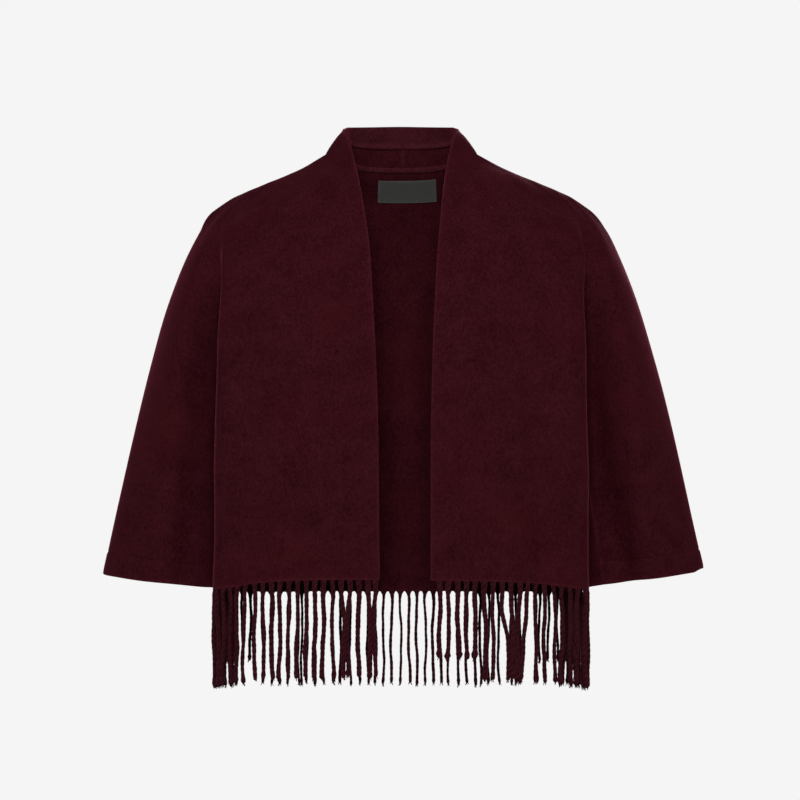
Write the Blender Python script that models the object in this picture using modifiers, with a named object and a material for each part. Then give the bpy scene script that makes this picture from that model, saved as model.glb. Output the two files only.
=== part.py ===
"""Cropped wool jacket, open in front, with kimono sleeves and a fringed hem.

The cloth keeps the worn form that it has on a general figure, with nothing inside it.
Each front is cut in one with the front half of its sleeve and half of the stand collar,
and the back is cut in one with the back halves of both sleeves, so there is no armhole
seam. A deep drape fold runs from under each shoulder tip down to the hem.

+X points to the wearer's left, -Y to the front and +Z up. The origin lies midway between
the shoulders at neck height, which is where the wearer holds the jacket. Tables are in
millimetres and meshes in metres.

The cloth is laid out on named lines that run from the shoulder seam down to the hem, and
each line passes the same levels. A column value such as 3.5 lies halfway between lines
3 and 4, and a level value such as 1.5 halfway between levels 1 and 2.
"""

import bmesh
import bpy
import numpy as np
from mathutils import Vector

MM = 0.001
MERGE = 1e-6            # metres between corners that become one
CLOTH = 2.4             # thickness of the double-faced wool
SEAM_GAP = 0.3          # between two pieces at a seam
LAID_GAP = 0.3          # between a panel and what lies on it
SIDES = {"left": 1.0, "right": -1.0}

# Levels down the cloth, and the length of cloth from the shoulder seam to each.
COLLAR, SHOULDER, ROUND, ARCH, ARMHOLE, UNDERARM, HEM = range(7)
LEVEL_DROPS = (-45.0, 0.0, 55.0, 105.0, 175.0, 250.0, 500.0)

# Lines of a front in order from the front edge. Each row has the line's point (x, y, z)
# at the shoulder, round, arch, armhole, underarm and hem levels, on the wearer's left.
FRONT_LINES = {
    "edge": ((53, -33, 8), (45, -66, -36), (38, -89, -86),
             (34, -103, -150), (30, -110, -226), (27, -116, -470)),
    "neck": ((88, 3, 15), (94, -50, -24), (97, -88, -84),
             (98, -103, -150), (98, -110, -226), (98, -114, -471)),
    "breast": ((118, 4, -1), (133, -46, -34), (146, -80, -86),
               (153, -97, -150), (155, -104, -226), (158, -107, -474)),
    "fold": ((140, 5, -10.5), (163, -42, -46), (192, -73, -88),
             (198, -85, -150), (202, -90, -232), (207, -88, -479)),
    "flank": ((153, 5, -15.5), (180, -38, -53), (197, -59, -91),
              (197, -56, -156), (198, -48, -238), (204, -46, -482)),
    "side": ((165, 6, -20.5), (193, -34, -58), (201, -51, -94),
             (192, -34, -160), (189, 0, -226), (188, -2, -485)),
    "under": ((175, 6, -24.5), (203, -30, -62), (210, -49, -96),
              (203, -33, -161), (200, 0, -226), (205, -8, -481)),
    "pit": ((184, 7, -28.5), (212, -25, -65), (219, -47, -98),
            (217, -46, -160), (215, -40, -238), (226, -46, -479)),
    "cap": ((196, 7, -34), (223, -15, -69), (233, -40, -100),
            (243, -55, -158), (252, -60, -232), (278, -62, -471)),
    "over": ((217, 8, -48), (236, 8, -75), (250, 7, -104),
             (268, 5, -152), (288, 3, -222), (344, -5, -464)),
}
# Lines of half the back in order from the centre back, at the same levels.
REAR_LINES = {
    "centre": ((0, 62, 2), (0, 82, -38), (0, 96, -92),
               (0, 102, -158), (0, 104, -232), (0, 100, -493)),
    "nape": ((38, 55, 3), (40, 78, -37), (42, 94, -92),
             (44, 101, -158), (44, 103, -232), (44, 100, -493)),
    "wing": ((68, 34, 8), (72, 66, -33), (76, 88, -91),
             (78, 98, -158), (80, 101, -232), (82, 99, -493)),
    "neck": ((88, 3, 15), (95, 52, -27), (100, 84, -90),
             (104, 95, -157), (106, 98, -232), (108, 97, -493)),
    "blade": ((118, 4, -1), (134, 46, -36), (146, 76, -90),
              (154, 88, -156), (157, 92, -231), (160, 92, -493)),
    "fold": ((140, 5, -10.5), (164, 42, -48), (188, 69, -92),
             (198, 77, -155), (203, 80, -234), (210, 78, -491)),
    "flank": ((153, 5, -15.5), (181, 39, -54), (197, 60, -95),
              (197, 53, -158), (198, 44, -238), (206, 42, -488)),
    "side": ((165, 6, -20.5), (194, 36, -59), (203, 53, -98),
             (192, 36, -162), (189, 0, -226), (188, -2, -485)),
    "under": ((175, 6, -24.5), (204, 32, -63), (212, 51, -100),
              (203, 35, -163), (200, 0, -226), (205, -8, -481)),
    "pit": ((184, 7, -28.5), (213, 28, -66), (220, 49, -102),
            (217, 46, -162), (215, 38, -238), (224, 32, -480)),
    "cap": ((196, 7, -34), (224, 20, -70), (234, 43, -104),
            (244, 53, -160), (252, 55, -232), (279, 48, -472)),
    "over": ((217, 8, -48), (236, 8, -75), (250, 7, -104),
             (268, 5, -152), (288, 3, -222), (344, -5, -464)),
}
# Top of the stand collar above each of its lines, from the front edge to the centre back.
COLLAR_TOP = {
    "edge": (65, -8, 44),
    "neck": (68, 16, 47),
    "wing": (58, 38, 49),
    "nape": (34, 52, 50.5),
    "centre": (0, 58, 51.5),
}
# Distance of each front edge from the middle, at the levels from the shoulder down.
EDGE_REACH = {
    "left": (55, 48, 43, 39, 36, 34),
    "right": (53, 43, 35, 30.5, 26.5, 22.5),
}
# How much further out than the tables each sleeve hangs, at the same levels.
SLEEVE_SPREAD = {
    "left": (0, 2, 2, 3, 4, 4),
    "right": (0, -2, -2, -3, -4, -4),
}
# On the wearer's left the sleeve is turned, and its underarm seam ends in front.
TURNED_CUFF = {
    ("front", "under"): (232, -50, -476),
    ("rear", "under"): (232, -50, -476),
    ("front", "pit"): (255, -60, -473),
    ("rear", "pit"): (207, -6, -483),
}

FRONT_ORDER = tuple(FRONT_LINES)
REAR_ORDER = tuple(REAR_LINES)
COLLAR_ORDER = tuple(COLLAR_TOP)
SLEEVE_LINES = ("cap", "over")
NECK, SIDE, UNDER, OVER = (FRONT_ORDER.index(line) for line in ("neck", "side", "under", "over"))
REAR_SHIFT = REAR_ORDER.index("neck") - NECK    # from a front's column to the back's
CENTRE = len(COLLAR_ORDER) - 1

# Quads between one line and the next, and between one level and the next. The lines from
# the neck to the overarm, and those of the neckline, are cut alike on both their panels.
CHEST_QUADS = (4,)
NECKLINE_QUADS = (3, 3, 2)
SHOULDER_QUADS = (2, 3, 3, 2, 2, 2, 2, 3)
LEVEL_QUADS = (4, 3, 2, 3, 4, 6)
HAIR = 0.001            # least difference between two index values
STRIP_SHARE = 0.06      # share of a span between a seam and the next column or row
SIDE_SHARE = 0.15       # the same beside the side and underarm seams
STRIP = 2.4             # width of the flat strip beside a seam
TIP_SHARE = 0.78        # place of the last stop on the shoulder seam before its tip
CROTCH_GAP = 1.2        # gap where the side seam turns into the underarm seam
CORNER_GAP = 1.7        # how far the back's corner at the neck point is drawn back
CORNER_STRIP = 3.0      # the same for the corner of its flat strip
NEAR_GAP = 0.5          # the same just beside that corner and beside the crotch
REACH = 0.15            # share of a span over which a seam's direction is measured
TIP_REACH = 0.4         # the same along the overarm, side and underarm seams
TIP_BLEND = 2.0         # how fast the cloth beside the shoulder tip turns flat going up

# Trim inside the collar and neck, at collar levels and columns.
COLLAR_HEM_TOP = 0.02
COLLAR_HEM_FOOT = 0.5
COLLAR_HEM_START = 0.04
COLLAR_HEM_CLOTH = 1.4
RIDGE_CLOTH = 1.2
RIDGE_START = 1.3
# Ends of the label at the back's columns and levels, and its thickness.
LABEL_ENDS = {"left": 1.1, "right": 0.65}
LABEL_TOP, LABEL_FOOT = 1.26, 1.93
LABEL_CLOTH = 0.8

# Fringe: one strand each pitch, on a narrow strip under the hem.
FRINGE_PITCH = 9.8
STRAND_WIDTH = 4.2
STRAND_DEPTH = 3.4
FRINGE_STRIP = 3.0      # height of the backing strip
FRINGE_LENGTH = 111.0
FRINGE_END_GAP = 2.0    # from the strip's end to the seam or the front edge
# Each strand's rings: how far down, and how wide against its root.
STRAND_RINGS = ((0.30, 0.92), (0.66, 0.96), (0.97, 0.90), (1.0, 0.55))
STRAND_SWAY = 1.3
STRAND_SHORTEST = 0.965  # of the fringe's length
FRINGE_SEEDS = {"front_left": 11, "front_right": 12, "back": 17}

WOOL = (0.033, 0.0048, 0.0078)
WOOL_LIGHT = (0.046, 0.0085, 0.013)
LABEL_BLACK = (0.012, 0.012, 0.013)


def clear_scene():
    """Remove every object that the file opened with."""
    for item in list(bpy.data.objects):
        bpy.data.objects.remove(item, do_unlink=True)


def new_collection(name):
    """Collection in the scene that holds the jacket."""
    collection = bpy.data.collections.new(name)
    bpy.context.scene.collection.children.link(collection)
    return collection


def cloth_material(name, colour, roughness=0.95):
    """Principled material of one piece."""
    material = bpy.data.materials.new(name)
    material.use_nodes = True
    shader = material.node_tree.nodes["Principled BSDF"]
    shader.inputs["Base Color"].default_value = (*colour, 1.0)
    shader.inputs["Roughness"].default_value = roughness
    shader.inputs["Metallic"].default_value = 0.0
    return material


def unit(vector):
    """Vector scaled to length one."""
    return vector / np.linalg.norm(vector)


def clamp(value):
    """Value held between nothing and one."""
    return min(max(value, 0.0), 1.0)


def split(value, spans):
    """Whole span and the share of it for a value in index units."""
    index = min(max(int(value), 0), spans - 1)
    return index, value - index


# ---------------------------------------------------------------- the lines of the cloth

def placed(point, side):
    """Point of a table as an array, on the wearer's left or right."""
    x, y, z = point
    return np.array((x * SIDES[side], y, z), dtype=float)


def stations(face, line, side):
    """Points of one line from the shoulder seam to the hem, with this side's own changes."""
    table = FRONT_LINES if face == "front" else REAR_LINES
    points = [list(point) for point in table[line]]
    if line == "edge":
        for point, reach in zip(points, EDGE_REACH[side]):
            point[0] = reach
    if line in SLEEVE_LINES:
        for point, spread in zip(points, SLEEVE_SPREAD[side]):
            point[0] += spread
    if side == "left":
        points[-1] = TURNED_CUFF.get((face, line), points[-1])
    return [placed(point, side) for point in points]


def other_face(face):
    """Name of the panel on the far side of the shoulder and side seams."""
    return "rear" if face == "front" else "front"


def slope(before, here, after, span_before, span_after):
    """Slope at a point from its two neighbours, weighted by their distance."""
    left = (here - before) / span_before
    right = (after - here) / span_after
    return (left * span_after + right * span_before) / (span_before + span_after)


def hermite(start, end, start_slope, end_slope, span, share):
    """Point at a share of the way along one smooth span."""
    square = share * share
    cube = square * share
    rise = 3.0 * square - 2.0 * cube
    bend_start = (cube - 2.0 * square + share) * span * start_slope
    bend_end = (cube - square) * span * end_slope
    return start * (1.0 - rise) + end * rise + bend_start + bend_end


def point_above(face, line, side):
    """Station that a line passes before the shoulder seam, and the length of cloth there."""
    if line in COLLAR_TOP and (face, line) != ("rear", "neck"):
        return placed(COLLAR_TOP[line], side), LEVEL_DROPS[COLLAR]
    if line == "over":
        cap = stations(face, "cap", side)[0]
        return cap, -np.linalg.norm(stations(face, line, side)[0] - cap)
    partner = {"breast": "blade", "blade": "breast"}.get(line, line)
    return stations(other_face(face), partner, side)[1], -LEVEL_DROPS[ROUND]


def line_point(face, line, side, level):
    """Point of one line at a level value, on the middle of the cloth."""
    first, drop = point_above(face, line, side)
    points = [first] + stations(face, line, side)
    drops = [drop] + list(LEVEL_DROPS[SHOULDER:])
    index, share = split(level, len(points) - 1)
    start, end = points[index], points[index + 1]
    span = drops[index + 1] - drops[index]
    start_slope = end_slope = (end - start) / span
    turns = line in ("side", "under")
    if index > 0 and not (turns and index == UNDERARM):
        before = points[index - 1]
        start_slope = slope(before, start, end, drops[index] - drops[index - 1], span)
    if turns and index + 1 == UNDERARM:
        beyond = stations(other_face(face), line, side)[ARMHOLE - SHOULDER]
        end_slope = slope(start, end, beyond, span, span)
    elif index + 2 < len(points):
        after = points[index + 2]
        end_slope = slope(start, end, after, span, drops[index + 2] - drops[index + 1])
    return hermite(start, end, start_slope, end_slope, span, share)


def corner_share(line, level):
    """How sharply the cloth turns at a line: 0 is smooth and 1 a full corner."""
    if line == "neck":
        return clamp(1.0 - abs(level - SHOULDER))
    if line in ("side", "under"):
        return clamp(1.0 - abs(level - UNDERARM))
    return 0.0


def across(entries, index, share, level):
    """Point between entries index and index + 1 of a row of (line, point) pairs."""
    names = [name for name, _ in entries]
    points = [point for _, point in entries]
    spans = [np.linalg.norm(b - a) ** 0.5 for a, b in zip(points, points[1:])]
    start, end, span = points[index], points[index + 1], spans[index]
    chord = (end - start) / span
    start_slope = end_slope = chord
    if index > 0:
        smooth = slope(points[index - 1], start, end, spans[index - 1], span)
        corner = corner_share(names[index], level)
        start_slope = chord * corner + smooth * (1.0 - corner)
    if index + 2 < len(points):
        smooth = slope(start, end, points[index + 2], span, spans[index + 1])
        corner = corner_share(names[index + 1], level)
        end_slope = chord * corner + smooth * (1.0 - corner)
    return hermite(start, end, start_slope, end_slope, span, share)


def row_entries(face, side, level, lines):
    """Lines of a row as (line, point) pairs at one level."""
    return [(line, line_point(face, line, side, level)) for line in lines]


def mirrored(entry):
    """The same (line, point) pair on the other side of the centre back."""
    line, point = entry
    return line, point * np.array((-1.0, 1.0, 1.0))


def panel_point(face, side, column, level):
    """Middle of the cloth of a front, or of half the back, at a column and level."""
    order = FRONT_ORDER if face == "front" else REAR_ORDER
    other = other_face(face)
    seam = order.index("side")
    on_sleeve = level > UNDERARM and column > seam
    if on_sleeve:
        index, share = split(column - seam - 1, len(order) - seam - 2)
        entries = row_entries(other, side, level, ("pit",))
        entries += row_entries(face, side, level, order[seam + 1:])
        entries += row_entries(other, side, level, ("cap",))
        return across(entries, index + 1, share, level)
    if level > UNDERARM:
        index, share = split(column, seam)
        entries = row_entries(face, side, level, order[:seam + 1])
        entries += row_entries(other, side, level, ("flank",))
    else:
        index, share = split(column, len(order) - 1)
        entries = row_entries(face, side, level, order)
        entries += row_entries(other, side, level, ("cap",))
    if face == "rear":
        entries.insert(0, mirrored(entries[1]))
        index += 1
    return across(entries, index, share, level)


def collar_point(side, column, level):
    """Middle of half the collar; columns run from the front edge to the centre back."""
    index, share = split(column, CENTRE)
    entries = []
    for line in COLLAR_ORDER:
        face = "front" if line in FRONT_ORDER else "rear"
        entries += row_entries(face, side, level, (line,))
    entries.append(mirrored(entries[-2]))
    return across(entries, index, share, level)


# ---------------------------------------------------------------- seams

def seam_frame(kind, side, place):
    """Point on a seam, the direction from it into the front or collar, and the normal.

    The back's direction is the opposite one, so the two walls face each other squarely.
    """
    if kind == "shoulder":
        def seam(value):
            if value > OVER:
                return panel_point("front", side, OVER, SHOULDER + value - OVER)
            return panel_point("front", side, max(value, NECK), SHOULDER)
        inner = min(place, OVER - TIP_REACH)
        into = panel_point("front", side, inner, SHOULDER + REACH)
        away = panel_point("rear", side, inner + REAR_SHIFT, SHOULDER + REACH)
    elif kind == "overarm":
        def seam(value):
            if value < SHOULDER:
                return panel_point("front", side, OVER + value - SHOULDER, SHOULDER)
            return panel_point("front", side, OVER, min(value, HEM))
        inner = max(place, SHOULDER + REACH)
        into = panel_point("front", side, OVER - TIP_REACH, inner)
        away = panel_point("rear", side, OVER + REAR_SHIFT - TIP_REACH, inner)
    elif kind == "neckline":
        def seam(value):
            if value > CENTRE:
                return mirrored((kind, collar_point(side, 2 * CENTRE - value, SHOULDER)))[1]
            return collar_point(side, value, SHOULDER)
        into = collar_point(side, place, SHOULDER - REACH)
        away = panel_point("rear", side, CENTRE - place, SHOULDER + REACH)
    else:
        column = SIDE if kind == "side" else UNDER
        inner = column + (-TIP_REACH if kind == "side" else TIP_REACH)

        def seam(value):
            return panel_point("front", side, column, min(max(value, UNDERARM + HAIR), HEM))
        into = panel_point("front", side, inner, place)
        away = panel_point("rear", side, inner + REAR_SHIFT, place)
    here = seam(place)
    run = unit(seam(place + REACH) - seam(place - REACH))
    into = into - here
    away = away - here
    into = unit(into - run * np.dot(into, run))
    away = unit(away - run * np.dot(away, run))
    direction = unit(into - away)
    return here, direction, np.cross(run, direction)


def seam_place(column, level):
    """Seam, place along it and whether a front's column and level lie on its strip."""
    near_over = column > OVER - STRIP_SHARE - HAIR
    if column > NECK and level < SHOULDER + STRIP_SHARE + HAIR:
        place = float(OVER) if column == OVER else column
        if near_over and column < OVER:
            place = OVER if level > SHOULDER else OVER - 1 + TIP_SHARE
        if column == OVER and level > SHOULDER:
            return "overarm", level, False
        return "shoulder", place, level > SHOULDER
    if near_over:
        return "overarm", level, column < OVER
    if level > UNDERARM and SIDE - SIDE_SHARE - HAIR < column <= SIDE:
        return "side", level, column < SIDE
    if level > UNDERARM and UNDER <= column < UNDER + SIDE_SHARE + HAIR:
        return "under", level, column > UNDER
    return None


def beside_seam(kind, side, place, on_strip, sign):
    """Point on a panel's seam edge, or on the flat strip beside it."""
    here, direction, _ = seam_frame(kind, side, place)
    beside_neck = kind == "shoulder" and place < NECK + STRIP_SHARE + HAIR and sign < 0.0
    beside_crotch = kind in ("side", "under") and place < UNDERARM + STRIP_SHARE + HAIR
    gap = NEAR_GAP if beside_neck or beside_crotch else SEAM_GAP / 2.0
    return here + direction * sign * (STRIP if on_strip else gap)


def sewn_point(face, side, column, level):
    """Point of a panel as it is cut, drawn back from its seams by half their gap."""
    sign = 1.0 if face == "front" else -1.0
    front_column = column if face == "front" else column - REAR_SHIFT
    at_seam_row = level < SHOULDER + STRIP_SHARE + HAIR
    if face == "rear" and at_seam_row and front_column < NECK + HAIR:
        here, direction, _ = seam_frame("neckline", side, CENTRE - column)
        near = front_column > NECK - STRIP_SHARE - HAIR
        reach = STRIP if level > SHOULDER else NEAR_GAP if near else SEAM_GAP / 2.0
        if front_column > NECK - HAIR:
            _, shoulder, _ = seam_frame("shoulder", side, NECK + HAIR)
            direction = unit(direction + shoulder)
            reach = CORNER_STRIP if level > SHOULDER else CORNER_GAP
        return here - direction * reach
    if level == UNDERARM and SIDE <= front_column <= UNDER:
        return panel_point(face, side, column, level) - np.array((0.0, sign * CROTCH_GAP / 2.0, 0.0))
    found = seam_place(front_column, level)
    if found:
        return beside_seam(found[0], side, found[1], found[2], sign)
    point = panel_point(face, side, column, level)
    if front_column > OVER - 1 and level < ROUND:
        flat = clamp(TIP_BLEND * (ROUND - level))
        share = (front_column - OVER + 1) / (1.0 - STRIP_SHARE)
        cap = panel_point(face, side, OVER - 1 + column - front_column, level)
        strip = beside_seam("overarm", side, level, True, sign)
        point = point * (1.0 - flat) + (cap * (1.0 - share) + strip * share) * flat
    return point


def sewn_collar_point(side, column, level):
    """Point of half the collar as it is cut, clear of the neckline and of the other half."""
    point = collar_point(side, column, level)
    if column > NECK and level > SHOULDER - STRIP_SHARE - HAIR:
        point = beside_seam("neckline", side, column, level < SHOULDER, 1.0)
    if column == CENTRE:
        point[0] = SIDES[side] * SEAM_GAP / 2.0
    return point


# ---------------------------------------------------------------- meshes of the panels

def stops(quads, before=None, after=None, first=0):
    """Values in index units: each span cut evenly, with a narrow strip beside each seam.

    `before` and `after` give the strip's share of the span on that side of a seam.
    """
    values = []
    for span, count in enumerate(quads):
        start = first + span
        cuts = [start + step / count for step in range(count)]
        if start in (after or {}):
            cuts.insert(1, start + after[start])
        if start + 1 in (before or {}):
            cuts.append(start + 1 - before[start + 1])
        values += cuts
    return values + [float(first + len(quads))]


def panel_rows():
    """Levels of the rows from the shoulder seam to the hem."""
    after = {SHOULDER: STRIP_SHARE, UNDERARM: STRIP_SHARE}
    return stops(LEVEL_QUADS[1:], {UNDERARM: STRIP_SHARE}, after, SHOULDER)


def front_columns():
    """Columns of a front, with strips at the side, underarm and overarm seams."""
    return stops(CHEST_QUADS + SHOULDER_QUADS, {SIDE: SIDE_SHARE, OVER: STRIP_SHARE},
                 {NECK: STRIP_SHARE, UNDER: SIDE_SHARE})


def rear_columns():
    """Columns of half the back, which meet the front's at every seam."""
    quads = NECKLINE_QUADS[::-1] + SHOULDER_QUADS
    neck = NECK + REAR_SHIFT
    before = {neck: STRIP_SHARE, SIDE + REAR_SHIFT: SIDE_SHARE, OVER + REAR_SHIFT: STRIP_SHARE}
    after = {0: STRIP_SHARE, neck: STRIP_SHARE, UNDER + REAR_SHIFT: SIDE_SHARE}
    return stops(quads, before, after)


def collar_columns():
    """Columns of half the collar, which meet the back's at the neckline."""
    return stops(CHEST_QUADS + NECKLINE_QUADS, {CENTRE: STRIP_SHARE}, {NECK: STRIP_SHARE})


def collar_rows():
    """Levels of the collar's rows from its top to the neckline."""
    return stops(LEVEL_QUADS[:1], {SHOULDER: STRIP_SHARE})


def add_grid(mesh, columns, rows, point, slit=None):
    """Add quads over columns and rows to a mesh, leaving out those in the slit."""
    verts = {}
    for column in columns:
        for level in rows:
            verts[column, level] = mesh.verts.new(point(column, level) * MM)
    for left, right in zip(columns, columns[1:]):
        for top, foot in zip(rows, rows[1:]):
            if slit is not None and top >= UNDERARM and slit <= left < slit + 1:
                continue
            corners = ((left, top), (left, foot), (right, foot), (right, top))
            mesh.faces.new([verts[corner] for corner in corners])
    for vert in verts.values():
        if not vert.link_faces:
            mesh.verts.remove(vert)


def wall_object(name, mesh, thickness, material, collection):
    """Turn an open surface into a named wall of cloth."""
    bmesh.ops.remove_doubles(mesh, verts=mesh.verts, dist=MERGE)
    bmesh.ops.recalc_face_normals(mesh, faces=mesh.faces)
    data = bpy.data.meshes.new(name)
    mesh.to_mesh(data)
    mesh.free()
    data.shade_smooth()
    data.materials.append(material)
    item = bpy.data.objects.new(name, data)
    collection.objects.link(item)
    wall = item.modifiers.new("wall", "SOLIDIFY")
    wall.thickness = thickness * MM
    wall.offset = 0.0
    return item


def build_front(side, material, collection):
    """One front with the front half of its sleeve and its half of the collar."""
    mesh = bmesh.new()
    add_grid(mesh, front_columns(), panel_rows(),
             lambda column, level: sewn_point("front", side, column, level), SIDE)
    add_grid(mesh, collar_columns(), collar_rows(),
             lambda column, level: sewn_collar_point(side, column, level))
    return wall_object(f"front_{side}", mesh, CLOTH, material, collection)


def build_back(material, collection):
    """The back with the back halves of both sleeves."""
    mesh = bmesh.new()
    for side in SIDES:
        add_grid(mesh, rear_columns(), panel_rows(),
                 lambda column, level: sewn_point("rear", side, column, level),
                 SIDE + REAR_SHIFT)
    return wall_object("back", mesh, CLOTH, material, collection)


# ---------------------------------------------------------------- trim laid on the cloth

def lifted(point, column, level, lift, step=0.01):
    """Point of a panel moved off the cloth towards the hollow by the given lift."""
    sideways = point(column + step, level) - point(column - step, level)
    down = point(column, level + step) - point(column, level - step)
    here = point(column, level)
    normal = unit(np.cross(sideways, down))
    towards = np.array((0.0, 0.0, here[2])) - here
    return here + normal * lift * np.sign(np.dot(normal, towards))


def bracket(values, value):
    """Neighbours of a value in a rising list, and the share of the way between them."""
    index = min(max(int(np.searchsorted(values, value, side="right")) - 1, 0), len(values) - 2)
    low, high = values[index], values[index + 1]
    return low, high, (value - low) / (high - low)


def laid_point(point, columns, rows, column, level, lift):
    """Point over the flat facets of a panel, so that trim lies level with them."""
    left, right, sideways = bracket(columns, column)
    top, foot, down = bracket(rows, level)
    upper = (lifted(point, left, top, lift) * (1.0 - sideways)
             + lifted(point, right, top, lift) * sideways)
    lower = (lifted(point, left, foot, lift) * (1.0 - sideways)
             + lifted(point, right, foot, lift) * sideways)
    return upper * (1.0 - down) + lower * down


def between(values, low, high):
    """The two ends and every value between them."""
    return [low] + [value for value in values if low + HAIR < value < high - HAIR] + [high]


def trim_lift(thickness):
    """Distance from the middle of a panel to the middle of what lies on it."""
    return CLOTH / 2.0 + LAID_GAP + thickness / 2.0


def build_collar_hem(side, material, collection):
    """Turned-in hem inside half the collar, from the front edge to the centre back."""
    mesh = bmesh.new()
    columns, rows = collar_columns(), collar_rows()

    def point(column, level):
        place = laid_point(lambda c, v: collar_point(side, c, v), columns, rows,
                           column, level, trim_lift(COLLAR_HEM_CLOTH))
        if column == CENTRE:
            place[0] = SIDES[side] * SEAM_GAP / 2.0
        return place

    add_grid(mesh, between(columns, COLLAR_HEM_START, CENTRE),
             between(rows, COLLAR_HEM_TOP, COLLAR_HEM_FOOT), point)
    return wall_object(f"collar_hem_{side}", mesh, COLLAR_HEM_CLOTH, material, collection)


def ridge_row(side, column):
    """Collar side, middle and back side of the seam allowance at one collar column."""
    here, direction, normal = seam_frame("neckline", side, column)
    lift = trim_lift(RIDGE_CLOTH)
    towards = np.array((0.0, 0.0, here[2])) - here
    middle = here + normal * lift * np.sign(np.dot(normal, towards))
    return middle + direction * STRIP, middle, middle - direction * STRIP


def build_neck_ridge(material, collection):
    """Pressed seam allowance round the inside of the back neck."""
    mesh = bmesh.new()
    columns = between(collar_columns(), RIDGE_START, CENTRE)
    rows = [ridge_row("left", column) for column in columns]
    rows += [ridge_row("right", column) for column in reversed(columns[:-1])]
    verts = [[mesh.verts.new(point * MM) for point in row] for row in rows]
    for here, there in zip(verts, verts[1:]):
        for step in range(len(here) - 1):
            mesh.faces.new((here[step], there[step], there[step + 1], here[step + 1]))
    return wall_object("neck_seam_ridge", mesh, RIDGE_CLOTH, material, collection)


def build_label(material, collection):
    """Plain woven label on the inside of the back, under the neck seam."""
    mesh = bmesh.new()
    columns, rows = rear_columns(), panel_rows()
    for side, end in LABEL_ENDS.items():
        add_grid(mesh, between(columns, 0.0, end), between(rows, LABEL_TOP, LABEL_FOOT),
                 lambda column, level: laid_point(
                     lambda c, v: panel_point("rear", side, c, v), columns, rows,
                     column, level, trim_lift(LABEL_CLOTH)))
    return wall_object("label", mesh, LABEL_CLOTH, material, collection)


# ---------------------------------------------------------------- fringe

def front_hem(side):
    """Corners of a front's hem, from the front edge to the side seam."""
    return [sewn_point("front", side, column, float(HEM))
            for column in front_columns() if column <= SIDE]


def rear_hem():
    """Corners of the back's hem, from the right side seam to the left."""
    columns = [column for column in rear_columns() if column <= SIDE + REAR_SHIFT]
    right = [sewn_point("rear", "right", column, float(HEM)) for column in reversed(columns)]
    return right + [sewn_point("rear", "left", column, float(HEM)) for column in columns[1:]]


def along(points, lengths, distance):
    """Point at a distance along a path, and the level direction of the path there."""
    index = int(np.searchsorted(lengths, distance)) - 1
    index = min(max(index, 0), len(points) - 2)
    step = points[index + 1] - points[index]
    share = (distance - lengths[index]) / np.linalg.norm(step)
    return points[index] + step * share, unit(step * np.array((1.0, 1.0, 0.0)))


def strand_edges(total):
    """Distances along a hem at which each strand's root begins and ends."""
    usable = total - 2.0 * FRINGE_END_GAP - STRAND_WIDTH
    count = int(round(usable / FRINGE_PITCH)) + 1
    starts = [FRINGE_END_GAP + strand * usable / (count - 1) for strand in range(count)]
    return [edge for start in starts for edge in (start, start + STRAND_WIDTH)]


def grow_strand(mesh, root, chance):
    """Extrude one root face down in steps into a strand that sways a little."""
    centre = root.calc_center_median()
    length = (FRINGE_LENGTH - FRINGE_STRIP) * chance.uniform(STRAND_SHORTEST, 1.0)
    sway = chance.uniform(-STRAND_SWAY, STRAND_SWAY, 2)
    lean = chance.uniform(-STRAND_SWAY, STRAND_SWAY, 2)
    corners = [vert.co - centre for vert in root.verts]
    face = root
    for down, size in STRAND_RINGS:
        face = bmesh.ops.extrude_discrete_faces(mesh, faces=[face])["faces"][0]
        shift = sway * np.sin(down * 2.0 * np.pi) + lean * down
        middle = centre + Vector((shift[0], shift[1], -length * down)) * MM
        for vert, corner in zip(face.verts, corners):
            vert.co = middle + Vector((corner.x, corner.y, 0.0)) * size


def build_fringe(place, path, material, collection):
    """Backing strip under a hem, with a twisted strand hanging from each root."""
    steps = [np.linalg.norm(b - a) for a, b in zip(path, path[1:])]
    lengths = np.concatenate(((0.0,), np.cumsum(steps)))
    mesh = bmesh.new()
    rings = []
    for edge in strand_edges(lengths[-1]):
        centre, direction = along(path, lengths, edge)
        out = np.array((direction[1], -direction[0], 0.0)) * STRAND_DEPTH / 2.0
        top = centre - np.array((0.0, 0.0, SEAM_GAP))
        foot = top - np.array((0.0, 0.0, FRINGE_STRIP))
        corners = (top + out, top - out, foot - out, foot + out)
        rings.append([mesh.verts.new(point * MM) for point in corners])
    roots = []
    for number, (here, there) in enumerate(zip(rings, rings[1:])):
        for corner in range(4):
            after = (corner + 1) % 4
            face = mesh.faces.new((here[corner], there[corner], there[after], here[after]))
            if corner == 2 and number % 2 == 0:
                roots.append(face)
    mesh.faces.new(rings[0])
    mesh.faces.new(list(reversed(rings[-1])))
    chance = np.random.RandomState(FRINGE_SEEDS[place])
    for root in roots:
        grow_strand(mesh, root, chance)
    bmesh.ops.recalc_face_normals(mesh, faces=mesh.faces)
    data = bpy.data.meshes.new(f"fringe_{place}")
    mesh.to_mesh(data)
    mesh.free()
    data.materials.append(material)
    item = bpy.data.objects.new(data.name, data)
    collection.objects.link(item)
    return item


def main():
    """Build every piece of the jacket."""
    clear_scene()
    jacket = new_collection("wool_jacket")
    build_back(cloth_material("back_wool", WOOL), jacket)
    for side in SIDES:
        build_front(side, cloth_material(f"front_{side}_wool", WOOL), jacket)
        build_collar_hem(side, cloth_material(f"collar_hem_{side}_wool", WOOL_LIGHT), jacket)
        build_fringe(f"front_{side}", front_hem(side),
                     cloth_material(f"fringe_{side}_wool", WOOL_LIGHT), jacket)
    build_fringe("back", rear_hem(), cloth_material("fringe_back_wool", WOOL_LIGHT), jacket)
    build_neck_ridge(cloth_material("neck_ridge_wool", WOOL_LIGHT), jacket)
    build_label(cloth_material("label_satin", LABEL_BLACK, 0.5), jacket)


main()
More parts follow.
